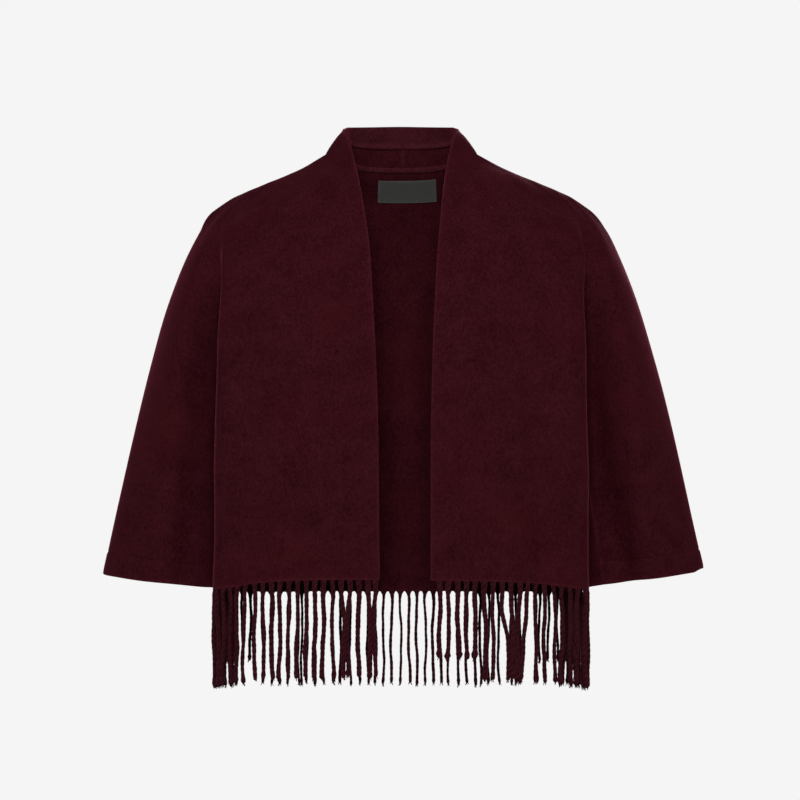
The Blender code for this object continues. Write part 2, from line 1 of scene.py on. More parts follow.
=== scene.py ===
"""Looks of a cropped burgundy wool jacket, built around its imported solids.

The cloth is laid out on the same named lines as the solids. Each panel is a fine shell on
that form, with its soft folds, turned hems and rounded edges, and the fringe is twisted
yarn. The jacket keeps the worn form of a general figure, with nothing inside it.

+X points to the wearer's left, -Y to the front and +Z up. Tables and sizes are in
millimetres and meshes in metres.
"""

import json
import logging
import math
from dataclasses import dataclass, field
from enum import Enum
from functools import cache
from typing import Callable, Iterable, Sequence

import bmesh
import bpy
import numpy as np
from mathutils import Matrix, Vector, noise


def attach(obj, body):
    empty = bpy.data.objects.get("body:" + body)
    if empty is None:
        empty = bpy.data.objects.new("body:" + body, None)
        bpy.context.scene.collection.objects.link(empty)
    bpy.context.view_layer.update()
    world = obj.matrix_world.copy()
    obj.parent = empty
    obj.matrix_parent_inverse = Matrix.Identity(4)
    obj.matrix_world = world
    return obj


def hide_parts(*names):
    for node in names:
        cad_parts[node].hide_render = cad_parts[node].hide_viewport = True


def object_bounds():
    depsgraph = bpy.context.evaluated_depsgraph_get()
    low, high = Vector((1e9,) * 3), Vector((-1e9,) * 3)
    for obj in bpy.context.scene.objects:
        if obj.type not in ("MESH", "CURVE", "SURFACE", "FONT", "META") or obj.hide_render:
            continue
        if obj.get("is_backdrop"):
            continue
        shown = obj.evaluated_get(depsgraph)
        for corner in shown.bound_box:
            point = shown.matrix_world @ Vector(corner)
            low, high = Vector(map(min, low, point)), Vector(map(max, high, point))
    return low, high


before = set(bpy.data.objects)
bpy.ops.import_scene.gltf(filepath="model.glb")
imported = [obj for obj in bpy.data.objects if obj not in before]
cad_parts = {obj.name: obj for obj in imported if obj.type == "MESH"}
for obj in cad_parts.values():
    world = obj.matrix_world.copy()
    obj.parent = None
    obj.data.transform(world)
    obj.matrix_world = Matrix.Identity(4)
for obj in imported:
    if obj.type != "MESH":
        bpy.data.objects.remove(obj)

LOG = logging.getLogger("jacket")
BODY = "root"

MM = 0.001
CLOTH = 2.4              # thickness of the double-faced wool
LAID_GAP = 0.3           # between a panel and what lies on it

Point = np.ndarray
Row = Sequence[float]


class Side(Enum):
    """The wearer's two sides, with the sign of X."""

    LEFT = 1.0
    RIGHT = -1.0

    @property
    def word(self) -> str:
        """Name of the side as node names spell it."""
        return self.name.lower()


class Face(Enum):
    """The two faces of the jacket."""

    FRONT = "front"
    REAR = "rear"

    @property
    def other(self) -> "Face":
        """The face on the far side of the shoulder and side seams."""
        return Face.REAR if self is Face.FRONT else Face.FRONT

    @property
    def lines(self) -> dict[str, Sequence[Row]]:
        """The lines of a front or of half the back, in order."""
        return FRONT_LINES if self is Face.FRONT else REAR_LINES

    @property
    def shift(self) -> int:
        """Columns between the face's own count of a seam and a front's."""
        return 0 if self is Face.FRONT else REAR_SHIFT


# Levels down the cloth, and the length of cloth from the shoulder seam to each.
COLLAR, SHOULDER, ROUND, ARCH, ARMHOLE, UNDERARM, HEM = range(7)
LEVEL_DROPS = (-45.0, 0.0, 55.0, 105.0, 175.0, 250.0, 500.0)

# Lines of a front in order from the front edge. Each row has the line's point (x, y, z)
# at the shoulder, round, arch, armhole, underarm and hem levels, on the wearer's left.
FRONT_LINES = {
    "edge": ((53, -33, 8), (45, -66, -36), (38, -89, -86),
             (34, -103, -150), (30, -110, -226), (27, -116, -470)),
    "neck": ((88, 3, 15), (94, -50, -24), (97, -88, -84),
             (98, -103, -150), (98, -110, -226), (98, -114, -471)),
    "breast": ((118, 4, -1), (133, -46, -34), (146, -80, -86),
               (153, -97, -150), (155, -104, -226), (158, -107, -474)),
    "fold": ((140, 5, -10.5), (190, -34, -56.5), (203.5, -61, -89),
             (205, -85, -150), (206, -90, -232), (208, -88, -479)),
    "flank": ((153, 5, -15.5), (197, -31.5, -59.3), (204, -57.5, -91),
              (199, -63, -156), (198, -48, -238), (204, -46, -482)),
    "side": ((165, 6, -20.5), (203, -29, -61.7), (207, -54, -94),
             (197, -47, -160), (189, 0, -226), (188, -2, -485)),
    "under": ((175, 6, -24.5), (209, -26.5, -63.9), (212.5, -50.5, -96),
              (206, -46, -161), (200, 0, -226), (205, -8, -481)),
    "pit": ((184, 7, -28.5), (215, -22.3, -66), (220, -47, -98),
            (218, -52, -160), (215, -40, -238), (226, -46, -479)),
    "cap": ((196, 7, -34), (223, -15, -69), (233, -40, -100),
            (243, -55, -158), (252, -60, -232), (278, -62, -471)),
    "over": ((217, 8, -48), (236, 8, -75), (250, 7, -104),
             (268, 5, -152), (288, 3, -222), (344, -5, -464)),
}
# Lines of half the back in order from the centre back, at the same levels.
REAR_LINES = {
    "centre": ((0, 62, 2), (0, 82, -38), (0, 96, -92),
               (0, 102, -158), (0, 104, -232), (0, 100, -493)),
    "nape": ((38, 55, 3), (40, 78, -37), (42, 94, -92),
             (44, 101, -158), (44, 103, -232), (44, 100, -493)),
    "wing": ((68, 34, 8), (72, 66, -33), (76, 88, -91),
             (78, 98, -158), (80, 101, -232), (82, 99, -493)),
    "neck": ((88, 3, 15), (95, 52, -27), (100, 84, -90),
             (104, 95, -157), (106, 98, -232), (108, 97, -493)),
    "blade": ((118, 4, -1), (134, 46, -36), (146, 76, -90),
              (154, 88, -156), (157, 92, -231), (160, 92, -493)),
    "fold": ((140, 5, -10.5), (164, 42, -48), (188, 69, -92),
             (198, 77, -155), (203, 80, -234), (210, 78, -491)),
    "flank": ((153, 5, -15.5), (181, 39, -54), (197, 60, -95),
              (197, 53, -158), (198, 44, -238), (206, 42, -488)),
    "side": ((165, 6, -20.5), (194, 36, -59), (203, 53, -98),
             (192, 36, -162), (189, 0, -226), (188, -2, -485)),
    "under": ((175, 6, -24.5), (204, 32, -63), (212, 51, -100),
              (203, 35, -163), (200, 0, -226), (205, -8, -481)),
    "pit": ((184, 7, -28.5), (213, 28, -66), (220, 49, -102),
            (217, 46, -162), (215, 38, -238), (224, 32, -480)),
    "cap": ((196, 7, -34), (224, 20, -70), (234, 43, -104),
            (244, 53, -160), (252, 55, -232), (279, 48, -472)),
    "over": FRONT_LINES["over"],
}
# Top of the stand collar above each of its lines, from the front edge to the centre back.
COLLAR_TOP = {
    "edge": (65, -8, 45),
    "neck": (66.5, 16, 48),
    "wing": (58, 38, 50),
    "nape": (34, 52, 51.5),
    "centre": (0, 58, 52.5),
}
# Distance of each front edge from the middle, at the levels from the shoulder down.
EDGE_REACH = {
    "left": (55, 48, 43, 39, 36, 34),
    "right": (53, 43, 35, 30.5, 26.5, 22.5),
}
# The same for the edge of each front's fold over its sleeve.
FOLD_REACH = {
    "left": (140, 190, 204.5, 204.5, 206.5, 209),
    "right": (140, 188, 200.5, 201, 203, 207),
}
# How much further out than the tables each sleeve hangs, at the same levels.
SLEEVE_SPREAD = {
    "left": (0, 2, 2, 3, 4, 4),
    "right": (0, -2, -2, -3, -4, -4),
}
# On the wearer's left the sleeve is turned, and its underarm seam ends in front.
TURNED_CUFF = {
    ("front", "under"): (232, -50, -476),
    ("rear", "under"): (232, -50, -476),
    ("front", "pit"): (255, -60, -473),
    ("rear", "pit"): (207, -6, -483),
}

FRONT_ORDER = tuple(FRONT_LINES)
COLLAR_ORDER = tuple(COLLAR_TOP)
SLEEVE_LINES = ("cap", "over")
NECK, SIDE, UNDER, OVER = (FRONT_ORDER.index(line) for line in ("neck", "side", "under", "over"))
REAR_SHIFT = list(REAR_LINES).index("neck") - NECK      # from a front's column to the back's
CENTRE = len(COLLAR_ORDER) - 1

HAIR = 0.001             # least difference between two index values
REACH = 0.15             # share of a span over which a seam's direction is measured
MIRROR = np.array((-1.0, 1.0, 1.0))


def unit(vector: Point) -> Point:
    """Vector scaled to length one."""
    return vector / np.linalg.norm(vector)


def clamp(value: float, low: float = 0.0, high: float = 1.0) -> float:
    """Value held between two limits."""
    return min(max(value, low), high)


def smooth(value: float) -> float:
    """Share from nothing to one that starts and ends level."""
    share = clamp(value)
    return share * share * (3.0 - 2.0 * share)


def split(value: float, spans: int) -> tuple[int, float]:
    """Whole span and the share of it for a value in index units."""
    index = min(max(int(value), 0), spans - 1)
    return index, value - index


def slope(before: Point, here: Point, after: Point, span_before: float, span_after: float) -> Point:
    """Slope at a point from its two neighbours, weighted by their distance."""
    left = (here - before) / span_before
    right = (after - here) / span_after
    return (left * span_after + right * span_before) / (span_before + span_after)


def hermite(start: Point, end: Point, start_slope: Point, end_slope: Point, span: float,
            share: float) -> Point:
    """Point at a share of the way along one smooth span.

    Args:
        start: first end of the span.
        end: last end of the span.
        start_slope: slope at the first end, per unit of the span.
        end_slope: slope at the last end.
        span: length of the span.
        share: how far along it.

    Returns:
        The point on the curve.
    """
    square = share * share
    cube = square * share
    rise = 3.0 * square - 2.0 * cube
    bend_start = (cube - 2.0 * square + share) * span * start_slope
    bend_end = (cube - square) * span * end_slope
    return start * (1.0 - rise) + end * rise + bend_start + bend_end


@dataclass(frozen=True)
class Zone:
    """Part of the jacket that hangs a little off the tables."""

    borders: tuple[tuple[str, float, float], ...]    # way in, where it starts, and its fade
    left: tuple[float, float]                        # move outwards and up, on the wearer's left
    right: tuple[float, float]                       # and on the right

    def share(self, reach: dict[str, float]) -> float:
        """How much of the zone's move a point makes, from its reach each way."""
        return math.prod(smooth((reach[way] - start) / fade) for way, start, fade in self.borders)


# The two sides of a worn jacket never hang quite alike, and its corners are rounded.
COLLAR_CORNERS = Zone((("up", 36, 9), ("out", 60, 7)), (0, -2.0), (0, -2.0))
CUFF_CORNERS = Zone((("out", 335, 9), ("down", 456, 8)), (-1.2, 2.4), (-1.2, 2.4))
FRONT_HEMS = Zone((("down", 420, 50), ("front", 40, 30), ("in", -205, 60)), (0, 2.4), (0, 3.6))
SHOULDERS = Zone((("up", -200, 120), ("out", 50, 25)), (0, 0), (-3.2, 0))
SHOULDER_TIPS = Zone((*SHOULDERS.borders, ("out", 80, 40)), (0, 0), (0, -1.6))
LEFT_CUFF = Zone((("down", 390, 90), ("out", 235, 40)), (0, 1.8), (0, 0))
RIGHT_CUFF = Zone((("down", 390, 90), ("out", 225, 80)), (0, 0), (0, -3.4))
ZONES = (COLLAR_CORNERS, CUFF_CORNERS, FRONT_HEMS, SHOULDERS, SHOULDER_TIPS, LEFT_CUFF, RIGHT_CUFF)


def hang(point: Point) -> Point:
    """Where a point of the tables hangs on the worn jacket."""
    x, y, z = point
    reach = {"out": abs(x), "in": -abs(x), "up": z, "down": -z, "front": -y}
    out, up = abs(x), z
    for zone in ZONES:
        move = zone.right if x < 0.0 else zone.left
        share = zone.share(reach) if any(move) else 0.0
        out += move[0] * share
        up += move[1] * share
    return np.array((math.copysign(out, x), y, up))


class ClothForm:
    """The jacket's form: the middle of the cloth at a column and a level.

    A column value such as 3.5 lies halfway between lines 3 and 4, and a level value such
    as 1.5 halfway between levels 1 and 2.
    """

    @staticmethod
    def placed(point: Sequence[float], side: Side) -> Point:
        """Point of a table as an array, on the wearer's left or right."""
        x, y, z = point
        return np.array((x * side.value, y, z), dtype=float)

    @cache
    def stations(self, face: Face, line: str, side: Side) -> list[Point]:
        """Points of one line from the shoulder seam to the hem, with this side's changes."""
        points = [list(point) for point in face.lines[line]]
        if line == "edge":
            for point, reach in zip(points, EDGE_REACH[side.word]):
                point[0] = reach
        if line == "fold" and face is Face.FRONT:
            for point, reach in zip(points, FOLD_REACH[side.word]):
                point[0] = reach
        if line in SLEEVE_LINES:
            for point, spread in zip(points, SLEEVE_SPREAD[side.word]):
                point[0] += spread
        if side is Side.LEFT:
            points[-1] = TURNED_CUFF.get((face.value, line), points[-1])
        return [self.placed(point, side) for point in points]

    def point_above(self, face: Face, line: str, side: Side) -> tuple[Point, float]:
        """Station that a line passes before the shoulder seam, and the cloth's length there."""
        if line in COLLAR_TOP and (face, line) != (Face.REAR, "neck"):
            return self.placed(COLLAR_TOP[line], side), LEVEL_DROPS[COLLAR]
        if line == "over":
            cap = self.stations(face, "cap", side)[0]
            return cap, -float(np.linalg.norm(self.stations(face, line, side)[0] - cap))
        partner = {"breast": "blade", "blade": "breast"}.get(line, line)
        return self.stations(face.other, partner, side)[1], -LEVEL_DROPS[ROUND]

    @cache
    def line_point(self, face: Face, line: str, side: Side, level: float) -> Point:
        """Point of one line at a level value."""
        first, drop = self.point_above(face, line, side)
        points = [first] + self.stations(face, line, side)
        drops = [drop] + list(LEVEL_DROPS[SHOULDER:])
        index, share = split(level, len(points) - 1)
        start, end = points[index], points[index + 1]
        span = drops[index + 1] - drops[index]
        start_slope = end_slope = (end - start) / span
        turns = line in ("side", "under")
        if index > 0 and not (turns and index == UNDERARM):
            before = points[index - 1]
            start_slope = slope(before, start, end, drops[index] - drops[index - 1], span)
        if turns and index + 1 == UNDERARM:
            beyond = self.stations(face.other, line, side)[ARMHOLE - SHOULDER]
            end_slope = slope(start, end, beyond, span, span)
        elif index + 2 < len(points):
            after = points[index + 2]
            end_slope = slope(start, end, after, span, drops[index + 2] - drops[index + 1])
        return hermite(start, end, start_slope, end_slope, span, share)

    @staticmethod
    def corner_share(line: str, level: float) -> float:
        """How sharply the cloth turns at a line: 0 is smooth and 1 a full corner."""
        if line == "neck":
            return clamp(1.0 - abs(level - SHOULDER))
        if line in ("side", "under"):
            return clamp(1.0 - abs(level - UNDERARM))
        return 0.0

    def across(self, names: Sequence[str], points: Sequence[Point], index: int, share: float,
               level: float) -> Point:
        """Point between two entries of a row of named lines."""
        spans = [np.linalg.norm(b - a) ** 0.5 for a, b in zip(points, points[1:])]
        start, end, span = points[index], points[index + 1], spans[index]
        chord = (end - start) / span
        start_slope = end_slope = chord
        if index > 0:
            flowing = slope(points[index - 1], start, end, spans[index - 1], span)
            corner = self.corner_share(names[index], level)
            start_slope = chord * corner + flowing * (1.0 - corner)
        if index + 2 < len(points):
            flowing = slope(start, end, points[index + 2], span, spans[index + 1])
            corner = self.corner_share(names[index + 1], level)
            end_slope = chord * corner + flowing * (1.0 - corner)
        return hermite(start, end, start_slope, end_slope, span, share)

    @cache
    def row(self, face: Face, side: Side, level: float, part: str) -> tuple[list[str], list[Point]]:
        """Named points of the lines that a row passes.

        Args:
            face: front or rear panel.
            side: the wearer's side.
            level: level of the row.
            part: "whole" above the underarm, and "body" or "sleeve" below it.

        Returns:
            The lines' names and their points, with the neighbours beyond the panel's ends.
        """
        order = list(face.lines)
        seam = SIDE + face.shift
        picks = {"whole": order, "body": order[:seam + 1], "sleeve": order[seam + 1:]}[part]
        ends = {"whole": (None, "cap"), "body": (None, "flank"), "sleeve": ("pit", "cap")}[part]
        entries = [(line, self.line_point(face, line, side, level)) for line in picks]
        if ends[0]:
            entries.insert(0, (ends[0], self.line_point(face.other, ends[0], side, level)))
        elif face is Face.REAR:
            line, point = entries[1]
            entries.insert(0, (line, point * MIRROR))
        entries.append((ends[1], self.line_point(face.other, ends[1], side, level)))
        return [name for name, _ in entries], [point for _, point in entries]

    @cache
    def panel_point(self, face: Face, side: Side, column: float, level: float) -> Point:
        """Middle of the cloth of a front, or of half the back."""
        seam, last = SIDE + face.shift, OVER + face.shift
        if level > UNDERARM and column > seam:
            index, share = split(column - seam - 1, last - seam - 1)
            names, points = self.row(face, side, level, "sleeve")
            return hang(self.across(names, points, index + 1, share, level))
        if level > UNDERARM:
            index, share = split(column, seam)
            names, points = self.row(face, side, level, "body")
        else:
            index, share = split(column, last)
            names, points = self.row(face, side, level, "whole")
        first = 1 if face is Face.REAR else 0
        return hang(self.across(names, points, index + first, share, level))

    @cache
    def collar_point(self, side: Side, column: float, level: float) -> Point:
        """Middle of half the collar; columns run from the front edge to the centre back."""
        index, share = split(column, CENTRE)
        names = list(COLLAR_ORDER)
        points = [self.line_point(Face.FRONT if line in FRONT_ORDER else Face.REAR, line, side, level)
                  for line in COLLAR_ORDER]
        names.append(names[-2])
        points.append(points[-2] * MIRROR)
        return hang(self.across(names, points, index, share, level))

    def neck_frame(self, side: Side, column: float) -> tuple[Point, Point, Point]:
        """Point on the neckline seam, the direction from it into the collar, and the normal."""
        here = self.collar_point(side, column, SHOULDER)
        run = unit(self.collar_point(side, min(column + REACH, CENTRE), SHOULDER)
                   - self.collar_point(side, column - REACH, SHOULDER))
        into = self.collar_point(side, column, SHOULDER - REACH) - here
        away = self.panel_point(Face.REAR, side, CENTRE - column, SHOULDER + REACH) - here
        into = unit(into - run * np.dot(into, run))
        away = unit(away - run * np.dot(away, run))
        direction = unit(into - away)
        return here, direction, np.cross(run, direction)


FORM = ClothForm()


# ---------------------------------------------------------------- materials

Colour = tuple[float, float, float]


def operator(operation: str, swapped: bool = False) -> Callable:
    """Python operator that adds a Math node to a number's tree.

    Args:
        operation: what the node does.
        swapped: whether the number comes second.

    Returns:
        The method for the operator.
    """
    def joined(self: "Number", other: object) -> "Number":
        """Math node on the number and another value, as a new number."""
        first, second = (other, self) if swapped else (self, other)
        made = self.graph.node("ShaderNodeMath", {"operation": operation}, {0: first, 1: second})
        return Number(self.graph, made.outputs[0])

    return joined


class Number:
    """Number socket of a node tree that takes Python's operators."""

    def __init__(self, graph: "Graph", socket: bpy.types.NodeSocket) -> None:
        self.graph = graph
        self.socket = socket

    __add__ = __radd__ = operator("ADD")
    __mul__ = __rmul__ = operator("MULTIPLY")
    __sub__ = operator("SUBTRACT")
    __rsub__ = operator("SUBTRACT", swapped=True)

    def held(self) -> "Number":
        """The number held between nothing and one."""
        settings = {"operation": "ADD", "use_clamp": True}
        made = self.graph.node("ShaderNodeMath", settings, {0: self, 1: 0.0})
        return Number(self.graph, made.outputs[0])


@dataclass(frozen=True)
class Grain:
    """Noise of one size in a finish."""

    size: float              # of its largest grains, mm
    show: float = 1.0        # how far it moves the colour
    detail: float = 2.0      # number of finer octaves
    roughness: float = 0.5   # weight of the finer octaves


class Graph:
    """Node tree of a material or a world, whose nodes all come from one method."""

    def __init__(self, owner: bpy.types.Material | bpy.types.World) -> None:
        owner.use_nodes = True
        self.owner = owner
        self.tree = owner.node_tree
        self.tree.nodes.clear()

    def node(self, kind: str, settings: dict | None = None,
             inputs: dict | None = None) -> bpy.types.Node:
        """Add a node.

        Args:
            kind: the node's type.
            settings: properties that are set first.
            inputs: values or links of its sockets, by name or number.

        Returns:
            The new node.
        """
        made = self.tree.nodes.new(kind)
        for name, value in (settings or {}).items():
            setattr(made, name, value)
        for key, value in (inputs or {}).items():
            socket = made.inputs[key]
            source = value.socket if isinstance(value, Number) else value
            if isinstance(source, bpy.types.NodeSocket):
                self.tree.links.new(source, socket)
            else:
                socket.default_value = source
        return made

    def place(self, stretch: tuple[float, float, float] = (1.0, 1.0, 1.0)) -> bpy.types.NodeSocket:
        """The object's own coordinates, in metres, stretched along each axis."""
        found = self.node("ShaderNodeTexCoord").outputs["Object"]
        if stretch == (1.0, 1.0, 1.0):
            return found
        scaled = self.node("ShaderNodeVectorMath", {"operation": "MULTIPLY"}, {0: found, 1: stretch})
        return scaled.outputs[0]

    def speckle(self, place: bpy.types.NodeSocket, grain: Grain) -> Number:
        """Noise about one half, at coordinates in metres."""
        made = self.node("ShaderNodeTexNoise", None, {
            "Vector": place, "Scale": 1.0 / (grain.size * MM), "Detail": grain.detail,
            "Roughness": grain.roughness})
        return Number(self, made.outputs["Fac"])

    @staticmethod
    def swing(speckle: Number, grain: Grain) -> Number:
        """Noise about nothing, as strong as its grain shows."""
        return (speckle - 0.5) * grain.show

    def attribute(self, name: str) -> Number:
        """Number that each corner of the mesh carries."""
        return Number(self, self.node("ShaderNodeAttribute", {"attribute_name": name}).outputs["Fac"])

    def mixed(self, share: object, first: object, second: object) -> bpy.types.NodeSocket:
        """Colour between two colours."""
        start, end = ((*value, 1.0) if isinstance(value, tuple) else value for value in (first, second))
        made = self.node("ShaderNodeMix", {"data_type": "RGBA"}, {0: share, 6: start, 7: end})
        return made.outputs[2]

    def raised(self, height: Number, depth: float, strength: float) -> bpy.types.NodeSocket:
        """Normal of a surface raised by a height from nothing to one, of a depth in millimetres."""
        made = self.node("ShaderNodeBump", None,
                         {"Strength": strength, "Distance": depth * MM, "Height": height})
        return made.outputs["Normal"]

    def surface(self, inputs: dict) -> bpy.types.Material:
        """Finish the material with a Principled shader."""
        shader = self.node("ShaderNodeBsdfPrincipled", None, inputs)
        self.node("ShaderNodeOutputMaterial", None, {"Surface": shader.outputs["BSDF"]})
        return self.owner


@dataclass(frozen=True)
class BrushedWool:
    """Thick double-faced wool, brushed into a short velvety pile and heathered in the yarn."""

    name: str
    ground: Colour           # between the fibres
    pile: Colour             # on the fibres' tips
    warm: Colour             # in the redder patches
    sheen: float = 0.2
    sheen_tint: Colour = (0.85, 0.14, 0.24)
    relief: float = 0.55     # depth of the pile, mm
    combing: Row = (1.0, 1.0, 0.62)      # the pile is combed downwards
    fibre: Grain = Grain(1.3, 1.7, 2.0, 0.6)
    tuft: Grain = Grain(2.7, 1.5, 3.0, 0.62)
    cloud: Grain = Grain(24.0, 0.85, 3.0, 0.55)
    patch: Grain = Grain(85.0, 2.6, 1.0)
    warmth: float = 0.45     # of the redder patches
    trough: float = 1.5      # depth from which a fold's trough gets painted shade, mm
    shade: float = 0.09      # how much darker that painted shade gets with each further mm
    painted_edge_highlight: float = 0.45       # how much of the lighter pile is painted along an edge as a highlight
    lighter: float = 1.7     # brightness of that painted highlight against the pile

    def material(self) -> bpy.types.Material:
        """Build the finish."""
        graph = Graph(bpy.data.materials.new(self.name))
        place = graph.place()
        combed = graph.place(self.combing)
        fibres = graph.speckle(combed, self.fibre)
        tufts = graph.speckle(combed, self.tuft)
        clouds = graph.speckle(place, self.cloud)
        patches = graph.speckle(place, self.patch)
        # Painted shade: the colour darkens in fold troughs deeper than `trough`, standing in for the
        # shade that falls in them.
        painted_fold_shade = ((0.0 - graph.attribute("lift") - self.trough) * self.shade).held()
        light = (0.5 + graph.swing(fibres, self.fibre) + graph.swing(tufts, self.tuft)
                 + graph.swing(clouds, self.cloud) - painted_fold_shade).held()
        cloth = graph.mixed(light, self.ground, self.pile)
        cloth = graph.mixed(graph.swing(patches, self.patch).held() * self.warmth, cloth, self.warm)
        # Painted highlight: near edges the colour turns to a lighter pile, standing in for the light that
        # the pile catches there.
        edge = (graph.attribute("rim") * (self.painted_edge_highlight + (tufts - 0.5) * 0.8)).held()
        cloth = graph.mixed(edge, cloth, tuple(channel * self.lighter for channel in self.pile))
        height = fibres * 0.35 + tufts * 0.5 + clouds * 0.15
        return graph.surface({
            "Base Color": cloth,
            "Roughness": (0.82 + light * 0.12).held(),
            "Normal": graph.raised(height, self.relief, 0.8),
            "Specular IOR Level": 0.03,
            "Sheen Weight": self.sheen,
            "Sheen Roughness": 0.42,
            "Sheen Tint": (*self.sheen_tint, 1.0),
        })


@dataclass(frozen=True)
class TwistedYarn:
    """Fringe yarn, twisted from fibres of the cloth, with painted shade between its plies."""

    name: str
    groove: Colour
    ply: Colour
    sheen: float
    sheen_tint: Colour = (0.85, 0.2, 0.3)
    combing: Row = (1.0, 1.0, 0.5)       # its fibres run downwards
    hair: Grain = Grain(0.9, 1.1, 2.0, 0.6)
    blotch: Grain = Grain(5.0, 0.9)
    relief: float = 0.35     # depth of the hairs, mm

    def material(self) -> bpy.types.Material:
        """Build the finish."""
        graph = Graph(bpy.data.materials.new(self.name))
        hairs = graph.speckle(graph.place(self.combing), self.hair)
        blotches = graph.speckle(graph.place(), self.blotch)
        uneven = graph.swing(hairs, self.hair) + graph.swing(blotches, self.blotch)
        # Painted shade and light: the grooves between the plies take the darker colour and the plies'
        # crowns the lighter one.
        light = graph.attribute("ply") * 0.62 + uneven + 0.2
        return graph.surface({
            "Base Color": graph.mixed(light.held(), self.groove, self.ply),
            "Roughness": (0.8 + hairs * 0.15).held(),
            "Normal": graph.raised(hairs * 0.6 + blotches * 0.4, self.relief, 0.7),
            "Specular IOR Level": 0.03,
            "Sheen Weight": self.sheen,
            "Sheen Roughness": 0.4,
            "Sheen Tint": (*self.sheen_tint, 1.0),
        })


@dataclass(frozen=True)
class LabelSatin:
    """Plain woven label with a fine rib and a lighter selvage."""

    name: str
    ground: Colour
    selvage: Colour
    rib: float = 0.55        # pitch of its rib, mm
    wear: Grain = Grain(4.0, 0.6)
    relief: float = 0.12     # depth of the rib, mm
    lighter: float = 1.7     # brightness of the rib's crowns against its grooves

    def material(self) -> bpy.types.Material:
        """Build the finish."""
        graph = Graph(bpy.data.materials.new(self.name))
        place = graph.place()
        wave = graph.node("ShaderNodeTexWave", {"bands_direction": "Z"},
                          {"Vector": place, "Scale": 0.05 / (self.rib * MM) * math.tau,
                           "Distortion": 0.6, "Detail": 1.0})
        rib = Number(graph, wave.outputs["Fac"])
        wear = graph.speckle(place, self.wear)
        light = (0.35 + (rib - 0.5) * 0.3 + graph.swing(wear, self.wear)).held()
        satin = graph.mixed(light, self.ground, tuple(channel * self.lighter for channel in self.ground))
        return graph.surface({
            "Base Color": graph.mixed((graph.attribute("rim") * 0.9).held(), satin, self.selvage),
            "Roughness": (0.42 + wear * 0.2).held(),
            "Normal": graph.raised(rib * 0.5 + wear * 0.5, self.relief, 0.5),
            "Sheen Weight": 0.1,
        })


@dataclass(frozen=True)
class PlainPaper:
    """Pale matt floor with a little light of its own."""

    name: str
    colour: Colour
    glow: float
    grain: Grain = Grain(30.0)

    def material(self) -> bpy.types.Material:
        """Build the finish."""
        graph = Graph(bpy.data.materials.new(self.name))
        grain = graph.speckle(graph.place(), self.grain)
        lighter = tuple(min(channel * 1.01, 1.0) for channel in self.colour)
        return graph.surface({
            "Base Color": graph.mixed(grain, self.colour, lighter),
            "Roughness": 0.9,
            "Specular IOR Level": 0.1,
            "Emission Color": (1.0, 1.0, 1.0, 1.0),
            "Emission Strength": self.glow,
        })


WOOL = BrushedWool("brushed_wool", ground=(0.0200, 0.0011, 0.0027), pile=(0.0520, 0.0074, 0.0123),
                   warm=(0.0545, 0.0052, 0.0070))
# Lighter copy of the same wool for the turned-in pieces inside the neck, with painted light where they
# face the light.
LIT_TURNED_WOOL = BrushedWool("turned_wool_painted_light", ground=(0.0245, 0.0021, 0.0040), pile=(0.0640, 0.0120, 0.0170),
                          warm=(0.060, 0.0083, 0.0106), sheen=0.22)
YARN = TwistedYarn("fringe_yarn", (0.0120, 0.0010, 0.0021), (0.0550, 0.0093, 0.0145), 0.2)
SATIN = LabelSatin("label_satin", (0.0235, 0.0241, 0.0227), (0.050, 0.051, 0.048))
SEWING_THREAD = TwistedYarn("sewing_thread", (0.04, 0.04, 0.039), (0.16, 0.16, 0.155), 0.1)
PAPER = PlainPaper("pale_floor", (0.86, 0.86, 0.855), 0.62)


# ---------------------------------------------------------------- sheets of cloth

# Stops between one line and the next, and between one level and the next, beside those
# that the seams and edges add.
CHEST_STOPS = (14,)
NECKLINE_STOPS = (9, 8, 8)
SHOULDER_STOPS = (12, 12, 10, 8, 3, 6, 9, 12)
COLLAR_STOPS = (9,)
LEVEL_STOPS = (11, 10, 13, 13, 38)
SEAM_STOPS = (0.03, 0.06, 0.1, 0.15)     # more stops beside a seam, in shares of its span
EDGE_STOPS = (0.02, 0.05)                # and beside a free edge
NEAREST_STOPS = 0.012                    # least distance between two stops
NEAREST_HEM_STOPS = 1.2                  # the same beside the hem's own stops, mm

# Cloth, in mm, from one level or line to the next: level by level down to the shoulder and
# the hem, and line by line beside a sleeve's seams and at the centre back.
COLLAR_RISE = LEVEL_DROPS[SHOULDER] - LEVEL_DROPS[COLLAR]
ROUND_RISE = LEVEL_DROPS[ROUND] - LEVEL_DROPS[SHOULDER]
HEM_RISE = LEVEL_DROPS[HEM] - LEVEL_DROPS[UNDERARM]
OVER_COLUMN = 45.0
SLEEVE_COLUMN = 30.0
NAPE_COLUMN = 40.0
NAPE_RISE = 50.0

CUFF_HEM = 25.0                          # height of the turned-up hem of a sleeve
CUFF_STOPS = (1.5, 3.5, 7.0, 12.0, 17.0, 21.5, 23.2, 24.2, 25.0, 25.8, 26.8, 28.5, 31.0)
HEM_THICKNESS = 0.55                     # how far the turned-up hem stands out
STITCH_PITCH = 7.0                       # of the hidden stitches that hold it
STITCH_DENT = (1.1, 1.3)                 # depth and half width of the dent along them
SLEEVE_SEAM = (0.8, 1.8)                 # height and half width of the seam under a sleeve

ROUNDING = 0.85                          # radius of a free edge
ROUNDING_STEPS = 3
SHARP = math.radians(60.0)               # edges that turn by more than this are rounded
RIM_FADE = 1.6                           # how fast the painted highlight of lighter pile fades from an edge
LEVEL_UV = 0.1                           # height of a level on the UV map, m
FOLD_FADE = 16.0                         # folds start this far from a seam
FOLD_SPREAD = (0.75, 1.25)               # width of a fold at its top and foot, in its own
FOLD_BORDER = 3.0                        # half widths at which a fold has no height left
FOLD_START = 1.6                         # how soon a fold has its full height
SWELLS = ((95.0, 1.5), (38.0, 0.55))     # size and height of the cloth's slow unevenness

